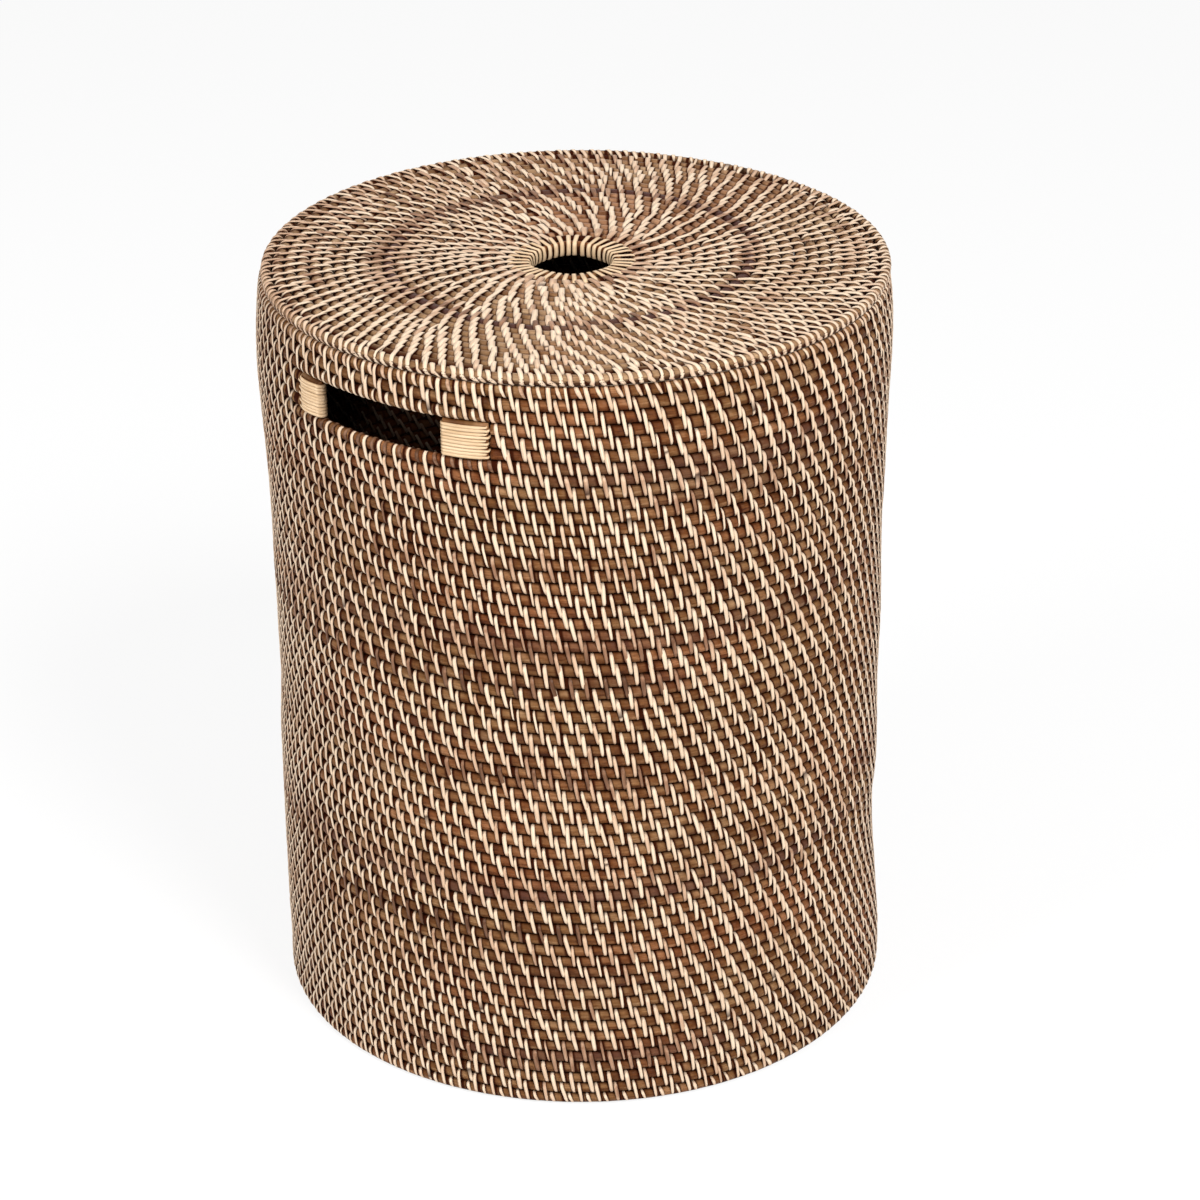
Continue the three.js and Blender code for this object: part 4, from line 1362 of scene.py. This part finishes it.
def makeBase():
    turns, half = base["turns"], base["thick"] / 2 - base["skin"]
    pitch = (hamper["radius"] - hamper["wall"] + base["overlap"]) / turns
    radii = (np.arange(turns) + 0.5) * pitch
    for index in range(len(base["cuts"]) - 1):
        first, last = base["cuts"][index:index + 2]
        coil = coilCane(first, last, turns, 0.0, pitch, flatStitch["climbShare"], basePlace, half,
                        rings["base"], 11.0 + index * 3.9, gap=0)
        makeCanes(f"base_cane_{index + 1}_dressed", [coil], [f"base_cane_{index + 1}"])
    phi, nextPhi = flatAngles(forkedRows(radii, base["firstStitches"]), radii)
    peel = cutPeel(len(phi), flatStitch["paler"], flatStitch["width"])
    makeStrips("base_stitches", [flatRun(phi, nextPhi, 0.0, pitch, turns, basePlace, peel, half)])


makeBase()
print("base made")


# Floor, light and camera

stage = {
    "floor": 0.95,
    "floorSize": 30,  # metres
    "floorDrop": 0.0004,
    "roughness": 0.9,
    "glow": 0.8,  # share of the floor's colour, for the camera, that is plain white
    "glowStrength": 1.04,
    "sky": 0.34,
    "lampAim": 0.3,  # height that the lamps point at, in metres
    "lamps": [  # azimuth from the hamper, how far out, height and size in metres, and watts
        ("Key", -112.0, 2.6, 2.9, 1.3, 108.0),
        ("Fill", -200.0, 2.6, 2.4, 1.3, 53.0),
    ],
}
white = (1, 1, 1, 1)


def seenDirectly(nodes, links):
    # 1 for what the camera sees, also in a mirror or through glass, and 0 for the light that falls on things
    path = nodes.new("ShaderNodeLightPath").outputs
    seen = calculate(nodes, links, "ADD", path["Is Camera Ray"], path["Is Glossy Ray"])
    seen = calculate(nodes, links, "ADD", seen, path["Is Transmission Ray"])
    seen.node.use_clamp = True
    return seen


def mixShaders(nodes, links, share, first, second, output):
    mix = nodes.new("ShaderNodeMixShader")
    for socket, value in zip(mix.inputs, (share, first, second)):
        links.new(value, socket)
    links.new(mix.outputs["Shader"], nodes[output].inputs["Surface"])


def makeFloor():
    bpy.ops.mesh.primitive_plane_add(size=stage["floorSize"], location=(0, 0, -stage["floorDrop"]))
    floor = bpy.context.object
    floor.name = "floor"
    material, nodes, links, shader = newMaterial("Pale floor")
    shader.inputs["Base Color"].default_value = (stage["floor"], stage["floor"], stage["floor"], 1)
    shader.inputs["Roughness"].default_value = stage["roughness"]
    shader.inputs["Specular IOR Level"].default_value = 0.0
    glow = nodes.new("ShaderNodeEmission")
    glow.inputs["Color"].default_value = white
    glow.inputs["Strength"].default_value = stage["glowStrength"]
    share = calculate(nodes, links, "MULTIPLY", seenDirectly(nodes, links), stage["glow"])
    mixShaders(nodes, links, share, shader.outputs["BSDF"], glow.outputs["Emission"], "Material Output")
    floor.data.materials.append(material)


def makeSky():
    world = bpy.data.worlds.new("Studio")
    bpy.context.scene.world = world
    world.use_nodes = True
    nodes, links = world.node_tree.nodes, world.node_tree.links
    sky, backdrop = nodes["Background"], nodes.new("ShaderNodeBackground")
    for background, strength in ((sky, stage["sky"]), (backdrop, 1.0)):
        background.inputs["Color"].default_value = white
        background.inputs["Strength"].default_value = strength
    mixShaders(nodes, links, seenDirectly(nodes, links), sky.outputs["Background"],
               backdrop.outputs["Background"], "World Output")


def makeLamps():
    for name, azimuth, reach, height, size, watts in stage["lamps"]:
        turn = math.radians(azimuth)
        spot = Vector((reach * math.cos(turn), reach * math.sin(turn), height))
        lamp = bpy.data.lights.new(name, "AREA")
        lamp.shape = "DISK"
        lamp.size = size
        lamp.energy = watts
        lit = bpy.data.objects.new(name, lamp)
        lit.location = spot
        aim = Vector((0, 0, stage["lampAim"])) - spot
        lit.rotation_euler = aim.to_track_quat("-Z", "Y").to_euler()
        bpy.context.scene.collection.objects.link(lit)


makeFloor()
makeSky()
makeLamps()

view = {
    "aim": (0.0, 0.0, 0.2516),
    "distance": 2.2834,
    "azimuth": -144.6,
    "elevation": 26.828,
    "roll": -0.877,
    "lens": 104.613,
    "sensor": 36.0,
    "shift": (0.0183, 0.0109),
    "farthest": 100,
}


def makeCamera():
    azimuth, elevation, roll = (math.radians(view[key]) for key in ("azimuth", "elevation", "roll"))
    flat = math.cos(elevation)
    back = Vector((flat * math.cos(azimuth), flat * math.sin(azimuth), math.sin(elevation)))
    right = Vector((-math.sin(azimuth), math.cos(azimuth), 0))
    up = back.cross(right)
    turnedRight = right * math.cos(roll) + up * math.sin(roll)
    turnedUp = up * math.cos(roll) - right * math.sin(roll)
    data = bpy.data.cameras.new("Camera")
    data.lens = view["lens"]
    data.sensor_width = view["sensor"]
    data.shift_x, data.shift_y = view["shift"]
    data.clip_end = view["farthest"]
    camera = bpy.data.objects.new("Camera", data)
    camera.matrix_world = Matrix((turnedRight, turnedUp, back)).transposed().to_4x4()
    camera.location = Vector(view["aim"]) + back * view["distance"]
    bpy.context.scene.collection.objects.link(camera)
    bpy.context.scene.camera = camera


makeCamera()
bpy.context.scene.view_settings.view_transform = "Standard"
print("stage and camera made")
